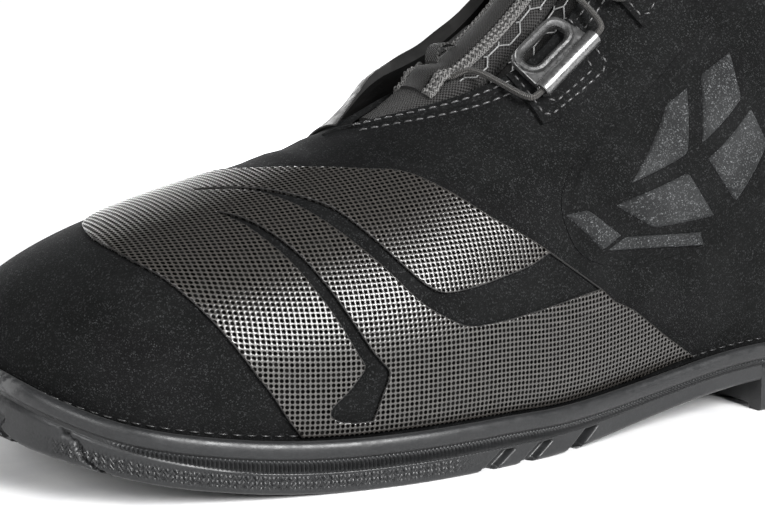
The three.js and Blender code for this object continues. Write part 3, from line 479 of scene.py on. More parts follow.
def nubuck_look(name="nubuck_black", tone=0.0036, nap=0.01):
    """Brushed leather: a fine nap with soft, uneven tone, and painted glints: small specks of lighter colour where the
    nap would catch the light.
    """
    look = Look(name, tone, 0.86, Specular_IOR_Level=0.07, Sheen_Weight=nap, Sheen_Roughness=0.5,
                Sheen_Tint=(0.75, 0.8, 0.85))
    cloud = look.span(look.noise(70, 4), 0.32, 0.7, 0.75, 1.3)
    # Painted glints: sparse specks of lighter colour, added at seven times the tone, where the nap would catch the
    # light; they are also a little glossier.
    painted_glint_specks = look.span(look.cells(3600, output="Color"), 0.62, 1.0)
    painted_glint_specks = look.times(painted_glint_specks, look.span(look.noise(420, 3), 0.3, 0.75, 0.35, 1.0))
    tone_and_painted_light = look.times(cloud, tone)
    tone_and_painted_light = look.plus(tone_and_painted_light, look.times(painted_glint_specks, tone * 7))
    color = look.node("CombineColor", {0: tone_and_painted_light, 1: look.times(tone_and_painted_light, 1.03),
                                       2: look.times(tone_and_painted_light, 1.05)})
    look.set("Base Color", color.outputs[0])
    look.set("Roughness", look.span(painted_glint_specks, 0.0, 1.0, 0.86, 0.55))
    look.bump(look.noise(2400, 3, roughness=0.7), 0.16, 0.5)
    look.bump(look.noise(260, 3), 0.12, 0.35)
    return look.material


def leather_look():
    """Smooth coated leather with a fine pebble and soft creases."""
    look = Look("leather_smooth", 0.012, 0.5, Specular_IOR_Level=0.25)
    look.set("Base Color", look.mix(look.span(look.noise(80, 4), 0.3, 0.7), (0.009,) * 3, (0.017, 0.0165, 0.016)))
    look.set("Roughness", look.span(look.noise(300, 4), 0.3, 0.7, 0.42, 0.62))
    look.bump(look.cells(1100, feature="SMOOTH_F1"), 0.1, 0.5)
    look.bump(look.noise(140, 3), 0.35, 0.5)
    return look.material


def guard_look():
    """A net of glossy coated threads with dark holes; one UV unit is one mesh of the net."""
    look = Look("guard_weave", 0.05, 0.3, Specular_IOR_Level=0.9, Coat_Weight=0.8, Coat_Roughness=0.22)
    u, v = look.uv()
    du = look.math("SUBTRACT", look.math("FRACT", u), 0.5)
    dv = look.math("SUBTRACT", look.math("FRACT", v), 0.5)
    far = look.math("SQRT", look.plus(look.times(du, du), look.times(dv, dv)))
    thread = look.span(far, 0.3, 0.45)
    knot = look.span(far, 0.42, 0.62)
    worn = look.span(look.noise(500, 3), 0.3, 0.75, 0.7, 1.3)
    color = look.mix(thread, 0.0005, (0.034, 0.031, 0.028))
    look.set("Base Color", look.mix(look.span(worn, 0.7, 1.3, 0.0, 0.4), color, (0.012, 0.0115, 0.011)))
    look.set("Metallic", look.span(knot, 0.0, 1.0, 0.0, 0.3))
    look.set("Coat Weight", look.span(thread, 0.0, 1.0, 0.0, 0.75))
    look.set("Specular IOR Level", look.span(far, 0.3, 0.62, 0.0, 1.0))
    look.set("Roughness", look.span(thread, 0.0, 1.0, 0.9, 0.3))
    look.bump(thread, 0.1, 0.6)
    ply = look.math("SINE", look.times(look.plus(u, v), 2 * math.pi * 4))
    look.bump(look.times(ply, thread), 0.02, 0.5)
    return look.material


def rubber_look():
    """Matt vulcanised rubber with a dusty bloom, and a lighter scuff on the toe bumper."""
    look = Look("rubber_sole", 0.014, 0.5, Specular_IOR_Level=0.4, Sheen_Weight=0.03, Sheen_Roughness=0.6)
    bloom = look.span(look.noise(45, 5), 0.3, 0.72)
    grain = look.span(look.noise(1700, 2), 0.35, 0.7)
    color = look.mix(bloom, (0.007, 0.0074, 0.008), (0.0115, 0.0119, 0.0127))
    color = look.mix(look.times(grain, 0.35), color, (0.024, 0.0247, 0.0254))
    x, _, z = look.node("SeparateXYZ", {0: look.object}).outputs
    toe = look.times(look.span(x, -0.1475, -0.1385, 1.0, 0.0), look.span(z, 0.020, 0.030))
    patch = look.times(toe, look.span(look.noise(240, 6, roughness=0.7), 0.47, 0.62))
    color = look.mix(look.times(patch, 0.7), color, (0.17, 0.17, 0.17))
    look.set("Base Color", color)
    look.set("Roughness", look.span(look.noise(400, 4), 0.3, 0.7, 0.33, 0.48))
    look.bump(look.noise(1500, 3), 0.08, 0.5)
    look.bump(look.noise(120, 4), 0.15, 0.4)
    return look.material


def knit_look(name, tone, pitch_u=1.0, pitch_v=1.0, depth=0.25, gloss=0.75):
    """Knitted or woven yarn; one UV unit is a millimetre, and the pitches are its stitch size."""
    look = Look(name, tone, gloss, Sheen_Weight=0.05, Sheen_Roughness=0.45, Specular_IOR_Level=0.1)
    u, v = look.uv()
    along = look.math("SINE", look.times(u, 2 * math.pi / pitch_u))
    across = look.math("SINE", look.times(v, 2 * math.pi / pitch_v))
    yarn = look.times(along, across)
    fuzz = look.noise(2500, 3)
    height = look.plus(look.times(yarn, 0.5), look.times(fuzz, 0.5))
    # Painted shade and highlight: the colour follows the yarn's relief, near black in the hollows between stitches and
    # lighter on the raised yarn.
    tone_and_painted_light = look.span(height, -0.35, 0.7)
    look.set("Base Color", look.mix(tone_and_painted_light, (tone * 0.12,) * 3, (tone * 2.4, tone * 2.35, tone * 2.3)))
    look.bump(height, depth)
    look.bump(look.noise(150, 3), 0.3, 0.4)
    return look.material


def cloth_look(name, tone, scale=1400, depth=0.12):
    """Plain close-woven textile on a piece without UVs."""
    look = Look(name, tone, 0.9, Sheen_Weight=0.2, Sheen_Roughness=0.5, Specular_IOR_Level=0.25)
    x, y, z = look.node("SeparateXYZ", {0: look.object}).outputs
    warp = look.math("SINE", look.times(look.plus(x, y), scale * 4))
    weft = look.math("SINE", look.times(look.math("SUBTRACT", z, y), scale * 4))
    yarn = look.plus(look.times(warp, weft), look.noise(scale, 2))
    # Painted shade and highlight: the colour follows the weave's relief, darker in its hollows and lighter on the
    # raised yarn.
    look.set("Base Color", look.mix(look.span(yarn, -0.4, 1.4), (tone * 0.4,) * 3, (tone * 1.6,) * 3))
    look.bump(yarn, depth, 0.6)
    return look.material


def metal_look(name, color, roughness, wear=0.35):
    """Plated metal: fine brushing, small pits and paler, smoother edges."""
    look = Look(name, color, roughness, metallic=0.85, Specular_IOR_Level=0.5)
    edge = look.span(look.node("NewGeometry").outputs["Pointiness"], 0.515, 0.58)
    edge = look.times(edge, look.span(look.noise(900, 4), 0.35, 0.65))
    base = (color,) * 3 if isinstance(color, float) else color
    look.set("Base Color", look.mix(look.times(edge, wear), base, (0.5, 0.5, 0.5)))
    look.set("Roughness", look.span(look.noise(700, 5), 0.3, 0.75, roughness * 0.75, roughness * 1.3))
    look.bump(look.noise(1800, 4), 0.03, 0.4)
    return look.material


def plastic_look(name, tone, roughness):
    """Moulded plastic with a spark-eroded grain."""
    look = Look(name, tone, roughness, Specular_IOR_Level=0.45)
    look.set("Base Color", look.mix(look.span(look.noise(90, 4), 0.3, 0.7), (tone * 0.8,) * 3, (tone * 1.25,) * 3))
    look.set("Roughness", look.span(look.noise(800, 4), 0.3, 0.7, roughness * 0.8, roughness * 1.2))
    look.bump(look.cells(1700), 0.05, 0.4)
    return look.material


def board_look(name, tone, scale=900):
    """Pressed fibre board or foam: speckled and slightly pitted."""
    look = Look(name, tone, 0.95)
    speck = look.span(look.cells(scale), 0.15, 0.6)
    look.set("Base Color", look.mix(speck, (tone * 0.6,) * 3, (tone * 1.15, tone * 1.1, tone)))
    look.bump(speck, 0.1, 0.5)
    return look.material


def braid_look():
    """Braided cord; u runs once round it and v is millimetres along it."""
    look = Look("cord_braid", 0.03, 0.5, Specular_IOR_Level=0.5, Sheen_Weight=0.1)
    u, v = look.uv()
    left = look.math("SINE", look.times(look.plus(look.times(u, 4), v), 2 * math.pi))
    right = look.math("SUBTRACT", look.times(u, 4), v)
    right = look.math("SINE", look.times(right, 2 * math.pi))
    strand = look.times(left, right)
    # Painted shade and highlight: the colour follows the strands' relief, darker where they dip and lighter on their
    # crowns.
    look.set("Base Color", look.mix(look.span(strand, -0.6, 0.6), (0.006,) * 3, (0.034, 0.031, 0.027)))
    look.bump(strand, 0.12)
    return look.material


NUBUCK = nubuck_look()
PANEL = nubuck_look("panel_grey", tone=0.017, nap=0.02)
SMOOTH_LEATHER = leather_look()
GUARD = guard_look()
RUBBER = rubber_look()
KNIT = knit_look("knit_black", 0.019, 1.1, 1.1, 0.4)
TAPE = knit_look("tape_ribbed", 0.075, 1.5, 1.0, 0.35)
STRIP = knit_look("strip_smooth", 0.011, 0.8, 0.8, 0.15, gloss=0.7)
MESH_CLOTH = knit_look("mesh_cloth", 0.008, 0.8, 0.8, 0.2)
NET = plastic_look("net_thread", 0.2, 0.4)
WEBBING = knit_look("webbing", 0.014, 0.9, 1.4, 0.25)
LINING_CLOTH = knit_look("lining_cloth", 0.014, 1.3, 1.3, 0.3, gloss=0.95)
THREAD = plastic_look("thread_waxed", 0.05, 0.22)
DARK_THREAD = plastic_look("thread_dark", 0.02, 0.3)
GUNMETAL = metal_look("gunmetal", 0.14, 0.32, wear=0.15)
STEEL = metal_look("steel", 0.45, 0.3)
PLASTIC = plastic_look("plastic_black", 0.016, 0.42)
BOARD = board_look("fibre_board", 0.3)
FOAM = board_look("foam_grey", 0.06, 500)
CLOTH = cloth_look("textile_plain", 0.02)
CORD = braid_look()

FRAME_LOOKS = {
    "midsole": FOAM, "insole_board": BOARD, "footbed": CLOTH, "shank": STEEL, "toe_puff": BOARD,
    "heel_counter": BOARD, "lateral_eyestay": CLOTH, "dial_spool": PLASTIC, "dial_driver": PLASTIC,
    "dial_spring": STEEL,
}


def finish_frame_nodes():
    """Better materials on the CAD nodes that stay."""
    for node, material in FRAME_LOOKS.items():
        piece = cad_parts[node]
        piece.data.materials.clear()
        piece.data.materials.append(material)


finish_frame_nodes()

# ---- upper ----

VAMP_SEAM = 4.75
RIDGE_SEAM = 102.0


def stations(start, stop, step=0.1):
    count = max(int(round((stop - start) / step)), 1)
    return np.linspace(start, stop, count + 1)


def grid_of(t, low, high, columns, lift):
    """Points over stations between two edge angles; lift is a number or a function of t and a."""
    v = np.linspace(0, 1, columns + 1)[None, :]
    a = low[:, None] + (high - low)[:, None] * v
    tt = np.broadcast_to(t[:, None], a.shape)
    return place(tt, a, lift(tt, a) if callable(lift) else lift)


def layer_between(t, low, high, columns, inside, outside):
    return slab(grid_of(t, low, high, columns, outside), grid_of(t, low, high, columns, inside))


def ridge_limit(t, side):
    """The quarters' edge beside the ridge: the seam, then the throat."""
    fade = np.clip((t - 6.0) / 0.1, 0, 1)
    seam = RIDGE_SEAM + (90 - RIDGE_SEAM) * fade
    return np.where(t <= THROAT_STATION, seam, 90 + side * throat_angle(t))


def crease(t, a):
    """Soft flex folds across the vamp point and dents over the instep."""
    fold = np.sin((t - 5.35) * 13 + np.radians(a - 90) * 1.5) * 0.35
    near = np.exp(-((t - 5.7) / 0.5) ** 2) * np.exp(-((a - 96) / 24) ** 2)
    return fold * near


def add_upper():
    t_front = stations(0, VAMP_SEAM, 0.095)
    t_rear = np.unique(np.concatenate([stations(VAMP_SEAM, 6.0, 0.1), stations(6.0, THROAT_STATION, 0.05),
                                       stations(THROAT_STATION, COLLAR_STATION, 0.1)]))
    parts = []
    seam = np.full(t_front.shape, RIDGE_SEAM)
    parts.append(layer_between(t_front, edge_angle(t_front, -1), seam, 80, -SHELL, crease))
    parts.append(layer_between(t_front, seam, edge_angle(t_front, 1), 44, -SHELL, crease))
    parts.append(layer_between(t_rear, edge_angle(t_rear, -1), ridge_limit(t_rear, -1), 80, -SHELL, crease))
    outer = mesh_object("upper_outer", joined(parts), NUBUCK, weld=True, sharp=50)
    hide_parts("vamp_and_lateral_quarter")
    inner = mesh_object("upper_inner", layer_between(
        t_rear, ridge_limit(t_rear, 1) + 0.4, edge_angle(t_rear, 1), 70, -SHELL, crease,
    ), NUBUCK, sharp=50)
    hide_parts("medial_quarter")


def mm_uv(grid):
    """UVs in millimetres for a slab over a grid: u along the stations and v round the section."""
    u = arc(grid[:, grid.shape[1] // 2])[:, None]
    v = np.array([arc(row) for row in grid])
    v = v - v[:, -1:] / 2
    uv = np.stack([np.broadcast_to(u, v.shape), v], axis=-1)
    return np.concatenate([uv, uv[:, ::-1]], axis=1).reshape(-1, 2)


def add_cloth_layer(name, t, low, high, columns, inside, outside, material, body, node):
    front = grid_of(t, low, high, columns, outside)
    piece = mesh_object(name, slab(front, grid_of(t, low, high, columns, inside)), material, body=body,
                        uv=mm_uv(front))
    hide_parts(node)
    return piece


def add_lining():
    t = stations(0.0, COLLAR_STATION, 0.15)
    parts, uvs = [], []
    for low, high in ((edge_angle(t, -1), 90 - throat_angle(t)), (90 + throat_angle(t), edge_angle(t, 1))):
        front = grid_of(t, low, high, 50, LINING_OUT)
        parts.append(slab(front, grid_of(t, low, high, 50, LINING_IN)))
        uvs.append(mm_uv(front))
    piece = mesh_object("lining_textile", joined(parts), LINING_CLOTH, uv=np.concatenate(uvs))
    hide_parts("lining")


# ---- stitching ----


def capsule(length, radius, sides=6, rings=5):
    """A short thread stitch along x whose ends dip into the material."""
    x = np.linspace(-0.5, 0.5, rings)
    thick = radius * np.array([0.45, 0.92, 1.0, 0.92, 0.45])
    turn = np.linspace(0, 2 * np.pi, sides, endpoint=False)
    rows = [np.stack([
        np.full(sides, length * x[k]),
        thick[k] * np.cos(turn),
        thick[k] * np.sin(turn) - radius * 3.4 * x[k] ** 2,
    ], axis=-1) for k in range(rings)]
    return np.array(rows).reshape(-1, 3), capped_faces(rings, sides)


def stamped(shape, centres, along, up):
    """Copies of a shape with x along a line and z off the surface."""
    points, faces = shape
    side = unit(np.cross(up, along))
    up = np.cross(along, side)
    parts = []
    for c, x, y, z in zip(centres, along, side, up):
        parts.append((points @ np.stack([x, y, z]) + c, faces))
    return joined(parts)


def stitch_line(t, a, lift, pitch, length, radius):
    """Stitches along a line of stations and angles, evenly spaced along its length."""
    line = place(t, a, lift)
    reach = arc(line)
    count = max(int(reach[-1] / pitch), 1)
    at = (np.arange(count) + 0.5) * reach[-1] / count
    f = lambda values: np.interp(at, reach, values)
    centres = np.stack([f(line[:, k]) for k in range(3)], axis=-1)
    along = unit(np.stack([f(np.gradient(line[:, k])) for k in range(3)], axis=-1))
    return stamped(capsule(length, radius), centres, along, normal(f(t), f(a)))


def add_stitches(name, lines, body="boot", lift=0.2, pitch=3.0, length=2.25, radius=0.3, material=None):
    parts = []
    for t, a in lines:
        t, a = np.asarray(t, float), np.asarray(a, float)
        share = np.linspace(0, 1, 200)
        knots = np.linspace(0, 1, len(t))
        fine_t, fine_a = np.interp(share, knots, t), np.interp(share, knots, a)
        parts.append(stitch_line(fine_t, fine_a, lift, pitch, length, radius))
    mesh_object(name, joined(parts), material or THREAD, body=body, sharp=None)


def offset_angle(t, millimetres):
    """How many degrees a distance round the section is, near the throat."""
    step = np.linalg.norm(surface(t, 61.0) - surface(t, 60.0), axis=-1)
    return millimetres / np.maximum(step, 0.3)


def throat_line(side, millimetres, start=6.2, stop=12.75):
    t = np.linspace(start, stop, 120)
    return t, 90 + side * (throat_angle(t) + offset_angle(t, millimetres))


def add_eyestay_edge():
    """The folded edge of the outer quarter along the throat, held by two rows of stitches."""
    t = stations(5.95, COLLAR_STATION - 0.02, 0.08)
    width = 3.7 * smooth((t - 5.95) / 0.5)
    low = 90 - throat_angle(t) - offset_angle(t, width)
    high = 90 - throat_angle(t) + offset_angle(t, 0.35)

    def crown(tt, a):
        share = 2 * (a - low[:, None]) / (high - low)[:, None] - 1
        return 0.12 + 0.75 * np.sqrt(np.maximum(1 - share ** 4, 0))

    mesh_object("eyestay_fold", layer_between(t, low, high, 12, -0.6, crown), NUBUCK)
    add_stitches("eyestay_stitches", [throat_line(-1, 2.2)], lift=0.98)
    add_stitches("eyestay_stitches_outer", [throat_line(-1, 5.2)], lift=0.18)


# ---- guard: a coated net bonded over the forefoot, with two curved openings cut out of it ----


def guard_foot(t):
    return [t, float(edge_angle(np.array([t]), -1, lambda s: sole_top(s) + 0.6)[0])]


GUARD_FRONT = [[4.55, -22], [4.32, -4], [4.07, 12], [3.81, 28], [3.57, 43], [3.35, 56], [3.19, 75], [3.24, 87]]
GUARD_TOP = [[3.36, 96], [3.65, 103.5], [4.07, 107], [4.5, 105], [4.81, 101], [5.05, 85], [5.45, 72], [5.82, 63],
             [6.15, 56], [6.42, 46], [6.78, 32], [7.1, 22], [7.25, 17]]
UPPER_CUT_TOP = [[4.45, 84], [4.84, 72], [5.1, 62], [5.34, 52], [5.55, 39], [5.77, 27], [5.98, 19], [6.1, 17],
                    [6.4, 16], [6.7, 16], [7.01, 16], [7.25, 17], [7.7, 18.5]]
UPPER_CUT_LOW = [[4.44, 82], [4.81, 70], [5.02, 59], [5.18, 49], [5.35, 39], [5.57, 28], [5.84, 16], [6.07, 10],
                    [6.3, 6], [6.61, 5], [7.01, 4.6], [7.34, 4.4], [7.63, 4], [7.9, 3]]
GUARD_BACK = [[7.63, 4], [7.84, -6], [8.03, -21]]
LOWER_CUT_TOP = [[4.4, 65.5], [4.57, 58], [4.7, 49.5], [4.85, 38.5], [5.01, 25.5], [5.18, 13], [5.33, 4], [5.42, 0],
                    [5.49, -5], [5.42, -16], [5.34, -26]]
LOWER_CUT_LOW = [[4.39, 64], [4.51, 56.5], [4.62, 47], [4.75, 36.5], [4.88, 25.5], [5.05, 13], [5.19, 3], [5.25, -1],
                    [5.11, -11], [4.92, -20.5], [5.0, -24.5], [5.15, -26]]


def fine_outline(points):
    """A smooth outline; a station counts as 16 degrees, so that both directions weigh alike."""
    return curve_through(np.array(points) * (16, 1), 8) / (16, 1)


FOOT_BACK, FOOT_FRONT, FOOT_POINTS = 8.22, 4.68, 40


def guard_outlines():
    foot_t = np.linspace(FOOT_BACK, FOOT_FRONT, FOOT_POINTS)
    foot = np.array([guard_foot(t) for t in foot_t])
    front = fine_outline([guard_foot(FOOT_FRONT)] + GUARD_FRONT + GUARD_TOP)
    back = fine_outline(GUARD_BACK + [guard_foot(FOOT_BACK)])
    upper = np.concatenate([fine_outline(UPPER_CUT_TOP), fine_outline(UPPER_CUT_LOW)[::-1]])
    lower = np.concatenate([fine_outline(LOWER_CUT_TOP), fine_outline(LOWER_CUT_LOW)[::-1]])
    body = np.concatenate([front, back, foot])
    return body, upper, lower


def inside(outline, t, a):
    """Which points lie inside an outline of stations and angles."""
    hit = np.zeros(np.shape(t), bool)
    for (t0, a0), (t1, a1) in zip(outline, np.roll(outline, -1, axis=0)):
        crosses = (a0 > a) != (a1 > a)
        hit ^= crosses & (t < (t1 - t0) * (a - a0) / (a1 - a0 + 1e-12) + t0)
    return hit


NET_PITCH = 1.27
NET_STEPS = 4


def net_grid():
    """A grid on the last whose rows lie across the boot and whose columns run round it from the sole."""
    x = np.arange(-122, 78, NET_PITCH / NET_STEPS)
    angles = np.arange(-46, 116, 1.5)
    t = np.linspace(2.2, 9.4, 260)
    xs = surface(t[None, :], angles[:, None])[..., 0]
    at = np.stack([np.interp(x, xs[k], t) for k in range(len(angles))], axis=-1)
    foot = edge_angle(at[:, 30], -1, lambda s: sole_top(s))
    line = surface(at, angles[None, :])
    steps = np.linalg.norm(np.diff(line, axis=1), axis=-1)
    length = np.concatenate([np.zeros((len(x), 1)), np.cumsum(steps, axis=1)], axis=1)
    v = np.arange(0, 134, NET_PITCH / NET_STEPS)
    tt, aa = np.empty((len(x), len(v))), np.empty((len(x), len(v)))
    for k in range(len(x)):
        start = np.interp(foot[k], angles, length[k])
        tt[k] = np.interp(v + start, length[k], at[k])
        aa[k] = np.interp(v + start, length[k], angles)
    return tt, aa


def add_guard():
    tt, aa = net_grid()
    rows, columns = tt.shape
    i, j = np.meshgrid(np.arange(rows), np.arange(columns), indexing="ij")
    fi = (i % NET_STEPS) / NET_STEPS
    fj = (j % NET_STEPS) / NET_STEPS
    hole = np.clip(1 - 2.6 * np.hypot(fi - 0.5, fj - 0.5), 0, 1)
    knot = 0.5 + 0.25 * (np.cos(2 * np.pi * fi) + np.cos(2 * np.pi * fj))
    lift = OVERLAY_GAP + 0.50 + 0.11 * knot - 0.3 * hole
    body, upper, lower = guard_outlines()
    quads = grid_faces(rows, columns)
    mt = tt.ravel()[quads].mean(axis=1)
    ma = aa.ravel()[quads].mean(axis=1)
    box = (mt > 3.1) & (mt < 8.3) & (ma > -48) & (ma < 112) & (np.ptp(aa.ravel()[quads], axis=1) > 0.02)
    quads, mt, ma = quads[box], mt[box], ma[box]
    keep = inside(body, mt, ma) & ~inside(upper, mt, ma) & ~inside(lower, mt, ma)
    quads = quads[keep]
    used = np.unique(quads)
    number = np.full(rows * columns, -1)
    number[used] = np.arange(len(used))
    faces = number[quads]
    points = place(tt.ravel()[used], aa.ravel()[used], lift.ravel()[used])
    under = place(tt.ravel()[used], aa.ravel()[used], 0.08)
    edges = np.concatenate([faces[:, [k, (k + 1) % 4]] for k in range(4)])
    key = np.sort(edges, axis=1) @ np.array([len(used) + 1, 1])
    _, first, count = np.unique(key, return_index=True, return_counts=True)
    rim = edges[first[count == 1]]
    wall = np.stack([rim[:, 1], rim[:, 0], rim[:, 0] + len(used), rim[:, 1] + len(used)], axis=1)
    uv = np.stack([i.ravel()[used] / NET_STEPS, j.ravel()[used] / NET_STEPS], axis=1)
    piece = mesh_object("guard_net", (np.concatenate([points, under]), np.concatenate([faces, wall])), GUARD,
                        uv=np.concatenate([uv, uv]), sharp=None)
    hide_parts("shift_guard")
    add_guard_edges(body, upper, lower)


def add_guard_edges(body, upper, lower):
    """A thin sealed edge round the guard and its two openings."""
    parts = []
    for outline in (body, upper, lower):
        closed = np.concatenate([outline, outline[:1]])
        if outline is body:
            closed = closed[:-FOOT_POINTS]
        inner = np.ones(len(closed), bool)
        if outline is not body:
            inner = inside(body, closed[:, 0], closed[:, 1]) | (closed[:, 0] < 5)
        closed = closed[inner]
        line = resampled(place(closed[:, 0], closed[:, 1], OVERLAY_GAP + 0.28), 400)
        parts.append(sweep(line, 0.22, 6))
    mesh_object("guard_edges", joined(parts), SMOOTH_LEATHER, sharp=None)


# ---- ankle guards: a dark oval with grey facets and a crescent in front ----

ANKLE_FACETS = (
    ((-0.62, -0.02), (-0.08, -0.10), (-0.06, -0.72), (-0.44, -0.52)),
    ((-0.46, 0.14), (-0.02, 0.08), (0.24, 0.66), (0.04, 0.72)),
    ((0.10, 0.06), (0.52, 0.02), (0.66, 0.44), (0.38, 0.62)),
    ((0.08, -0.12), (0.54, -0.14), (0.50, -0.56), (0.10, -0.74)),
    ((-0.98, 0.20), (-0.82, 0.12), (-0.66, -0.42), (-0.82, -0.50)),
    ((-0.80, -0.52), (-0.64, -0.46), (-0.18, -0.82), (-0.20, -0.98)),
)


def add_ankle_guard(name, node, centre_angle):
    centre, reach, half = 8.8, 1.3, 16.0
    t = centre + reach * np.sin(np.linspace(-np.pi / 2, np.pi / 2, 46))
    spread = half * np.maximum(1 - np.abs((t - centre) / reach) ** 2.6, 0) ** (1 / 2.6)
    spread = np.maximum(spread, 0.4)

    def dome(tt, a):
        edge = np.abs(a - centre_angle) / spread[:, None]
        ring = np.hypot(edge ** 2, ((tt - centre) / reach) ** 2)
        return 0.25 + 0.85 * (1 - smooth((ring - 0.62) / 0.4)) + 0.5 * np.exp(-((ring - 0.80) / 0.07) ** 2)

    def facet(corners):
        """A raised patch between four corners given across the oval, with rounded edges."""
        f = np.linspace(0, 1, 19)[:, None, None]
        g = np.linspace(0, 1, 19)[None, :, None]
        p, q, r, w = (np.array(corner, float) for corner in corners)
        flat = (p * (1 - f) + q * f) * (1 - g) + (w * (1 - f) + r * f) * g
        tt = centre + reach * flat[..., 0]
        aa = centre_angle + half * flat[..., 1] * np.sign(90 - centre_angle)
        crown = (1 - (2 * f - 1) ** 8) * (1 - (2 * g - 1) ** 8)
        top = 1.0 + 0.95 * np.maximum(crown[..., 0], 0) ** 0.5
        grids = place(tt, aa, top), place(tt, aa, 0.3)
        return grids if centre_angle < 90 else tuple(grid[::-1] for grid in grids)

    shape = slab(grid_of(t, centre_angle - spread, centre_angle + spread, 44, dome),
                 grid_of(t, centre_angle - spread, centre_angle + spread, 44, 0.05))
    parts = [slab(*facet(corners)) for corners in ANKLE_FACETS]
    pad = mesh_object(name, shape, NUBUCK)
    mesh_object(name + "_facets", joined(parts), PANEL, sharp=60)
    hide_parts(node)


# ---- padded flap on the inner side of the throat ----


def add_flap():
    t = stations(6.15, COLLAR_STATION - 0.03, 0.07)
    low = 90 + throat_angle(t) + 1
    high = low + 26
    fade = smooth((t - 6.0) / 1.3) * smooth((COLLAR_STATION - t) / 0.7)

    def outside(tt, a):
        share = (a - low[:, None]) / 26
        crown = np.sqrt(np.maximum(1 - np.abs((share - 0.42) / 0.6) ** 2.6, 0))
        seam = np.exp(-((share - 0.80) / 0.05) ** 2) * 0.9
        ripple = 0.28 * np.sin(tt * 11 + 3 * share) * np.exp(-((share - 0.3) / 0.35) ** 2)
        swell = 6.3 + 5.2 * np.exp(-((tt - 8.1) / 1.3) ** 2)
        return 0.9 + (swell * crown + ripple - seam * 0.6) * fade[:, None]

    def inside_lift(tt, a):
        share = (a - low[:, None]) / 26
        return 0.5 + 5.2 * (1 - smooth((share - 0.7) / 0.2)) * fade[:, None]

    front = grid_of(t, low, high, 40, outside)
    piece = mesh_object("inner_flap", slab(front, grid_of(t, low, high, 40, inside_lift)), SMOOTH_LEATHER,
                        sharp=60)
    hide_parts("medial_eyestay")
    row_t = np.linspace(6.4, 12.7, 100)
    add_stitches("inner_flap_stitches", [(row_t, 91 + throat_angle(row_t) + 26 * 0.93)], lift=1.25)


# ---- collar, backstay and pull loop ----


COLLAR_RISE = 3.5


def collar_line(count=150):
    edge = float(throat_angle(COLLAR_STATION)) + 2
    a = np.linspace(90 + edge, 450 - edge, count)
    line = place(COLLAR_STATION, a, LINING_IN / 2)
    line[:, 2] += COLLAR_RISE
    return line, a


def add_collar():
    line, a = collar_line()
    reach = arc(line)
    end = np.minimum(reach, reach[-1] - reach)
    plump = np.sqrt(np.clip(1 - (1 - np.clip(end / 4.5, 0, 1)) ** 2, 0.02, 1))
    pinch = 1 + 0.035 * np.sin(reach * 0.9) + 0.03 * np.sin(reach * 0.37 + 1)
    roll = mesh_object("collar_pad", sweep(line, 3.35 * plump * pinch, 20, up=(0, 0, 1)), SMOOTH_LEATHER,
                       sharp=None)
    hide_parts("collar_roll")
    rim = place(COLLAR_STATION - 0.03, a, 0.25)
    mesh_object("collar_piping", sweep(rim, 0.6, 8), SMOOTH_LEATHER, sharp=None)
    lower = np.linspace(a[0], a[-1], 200)
    add_stitches("collar_stitches", [(np.full(200, 12.72), lower)], lift=0.18, pitch=3.2)


def add_backstay():
    t = stations(10.45, 12.9, 0.06)
    half = 14 - t * 0.3
    dome = lambda tt, a: 0.35 + 1.35 * np.maximum(1 - (np.abs(a + 90) / half[:, None]) ** 5, 0) ** 0.5
    piece = mesh_object("backstay", layer_between(t, -90 - half, -90 + half, 24, 0.1, dome), NUBUCK)
    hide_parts("heel_backstay")
    rows = [(t, -90 + side * (half - 2.4)) for side in (-1, 1)]
    add_stitches("backstay_stitches", rows, lift=1.72)
    seam_t = np.linspace(9.3, 10.4, 60)
    add_stitches("heel_seam_stitches", [(seam_t, np.full(60, -90.0 + side * 3.2)) for side in (-1, 1)], lift=0.18)


def strap(points, width, thick, count=90):
    """A flat webbing strap along a path in the boot's middle plane, with UVs in millimetres."""
    line = resampled(curve_through(points), count)
    run = unit(np.gradient(line, axis=0))
    out = np.stack([-run[:, 2], np.zeros(count), run[:, 0]], axis=-1)
    across = np.linspace(-1, 1, 13)
    edge = np.sqrt(np.maximum(1 - np.abs(across) ** 8, 0.05))
    rows = []
    for sign in (1, -1):
        lift = sign * thick / 2 * edge[None, :, None] * out[:, None]
        rows.append(line[:, None] + lift + across[None, :, None] * (width / 2) * np.array([0, 1, 0]))
    u = np.broadcast_to(arc(line)[:, None], (count, 13))
    v = np.broadcast_to(across[None, :] * width / 2, (count, 13))
    uv = np.stack([u, v], axis=-1)
    uv = np.concatenate([uv, uv[:, ::-1]], axis=1).reshape(-1, 2)
    return slab(rows[0], rows[1]), uv, line


def add_pull_loop():
    loop_out, loop_in = 2.75, -6.95
    back, _ = collar_line(count=151)
    cx, cz = back[75][0], back[75][2]
    top = cz + COLLAR_RISE + 16
    path = [
        place(12.1, -90, loop_out), place(12.5, -90, loop_out + 0.2), place(12.9, -90, loop_out + 1),
        (cx + 5.8, 0, cz + 1.7), (cx + 5.2, 0, top - 5), (cx + 0.5, 0, top), (cx - 5.2, 0, top - 5),
        (cx - 5.8, 0, cz + 1.7), place(12.9, -90, loop_in - 1), place(12.5, -90, loop_in - 0.2),
    ]
    shape, uv, line = strap(path, 16, 1.5)
    piece = mesh_object("pull_loop", shape, WEBBING, uv=uv)
    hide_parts("rear_pull_loop")
    parts = []
    outward = np.array([0.98, 0, -0.1])
    for y in (-6.2, 6.2):
        rows = line[4:22] + (0, y, 0) + outward * 0.95
        parts.append(stamped(capsule(2.0, 0.28), rows[::2], unit(np.gradient(rows, axis=0))[::2],
                             np.broadcast_to(outward, rows[::2].shape)))
    mesh_object("pull_loop_stitches", joined(parts), THREAD, sharp=None)


# ---- sole ----

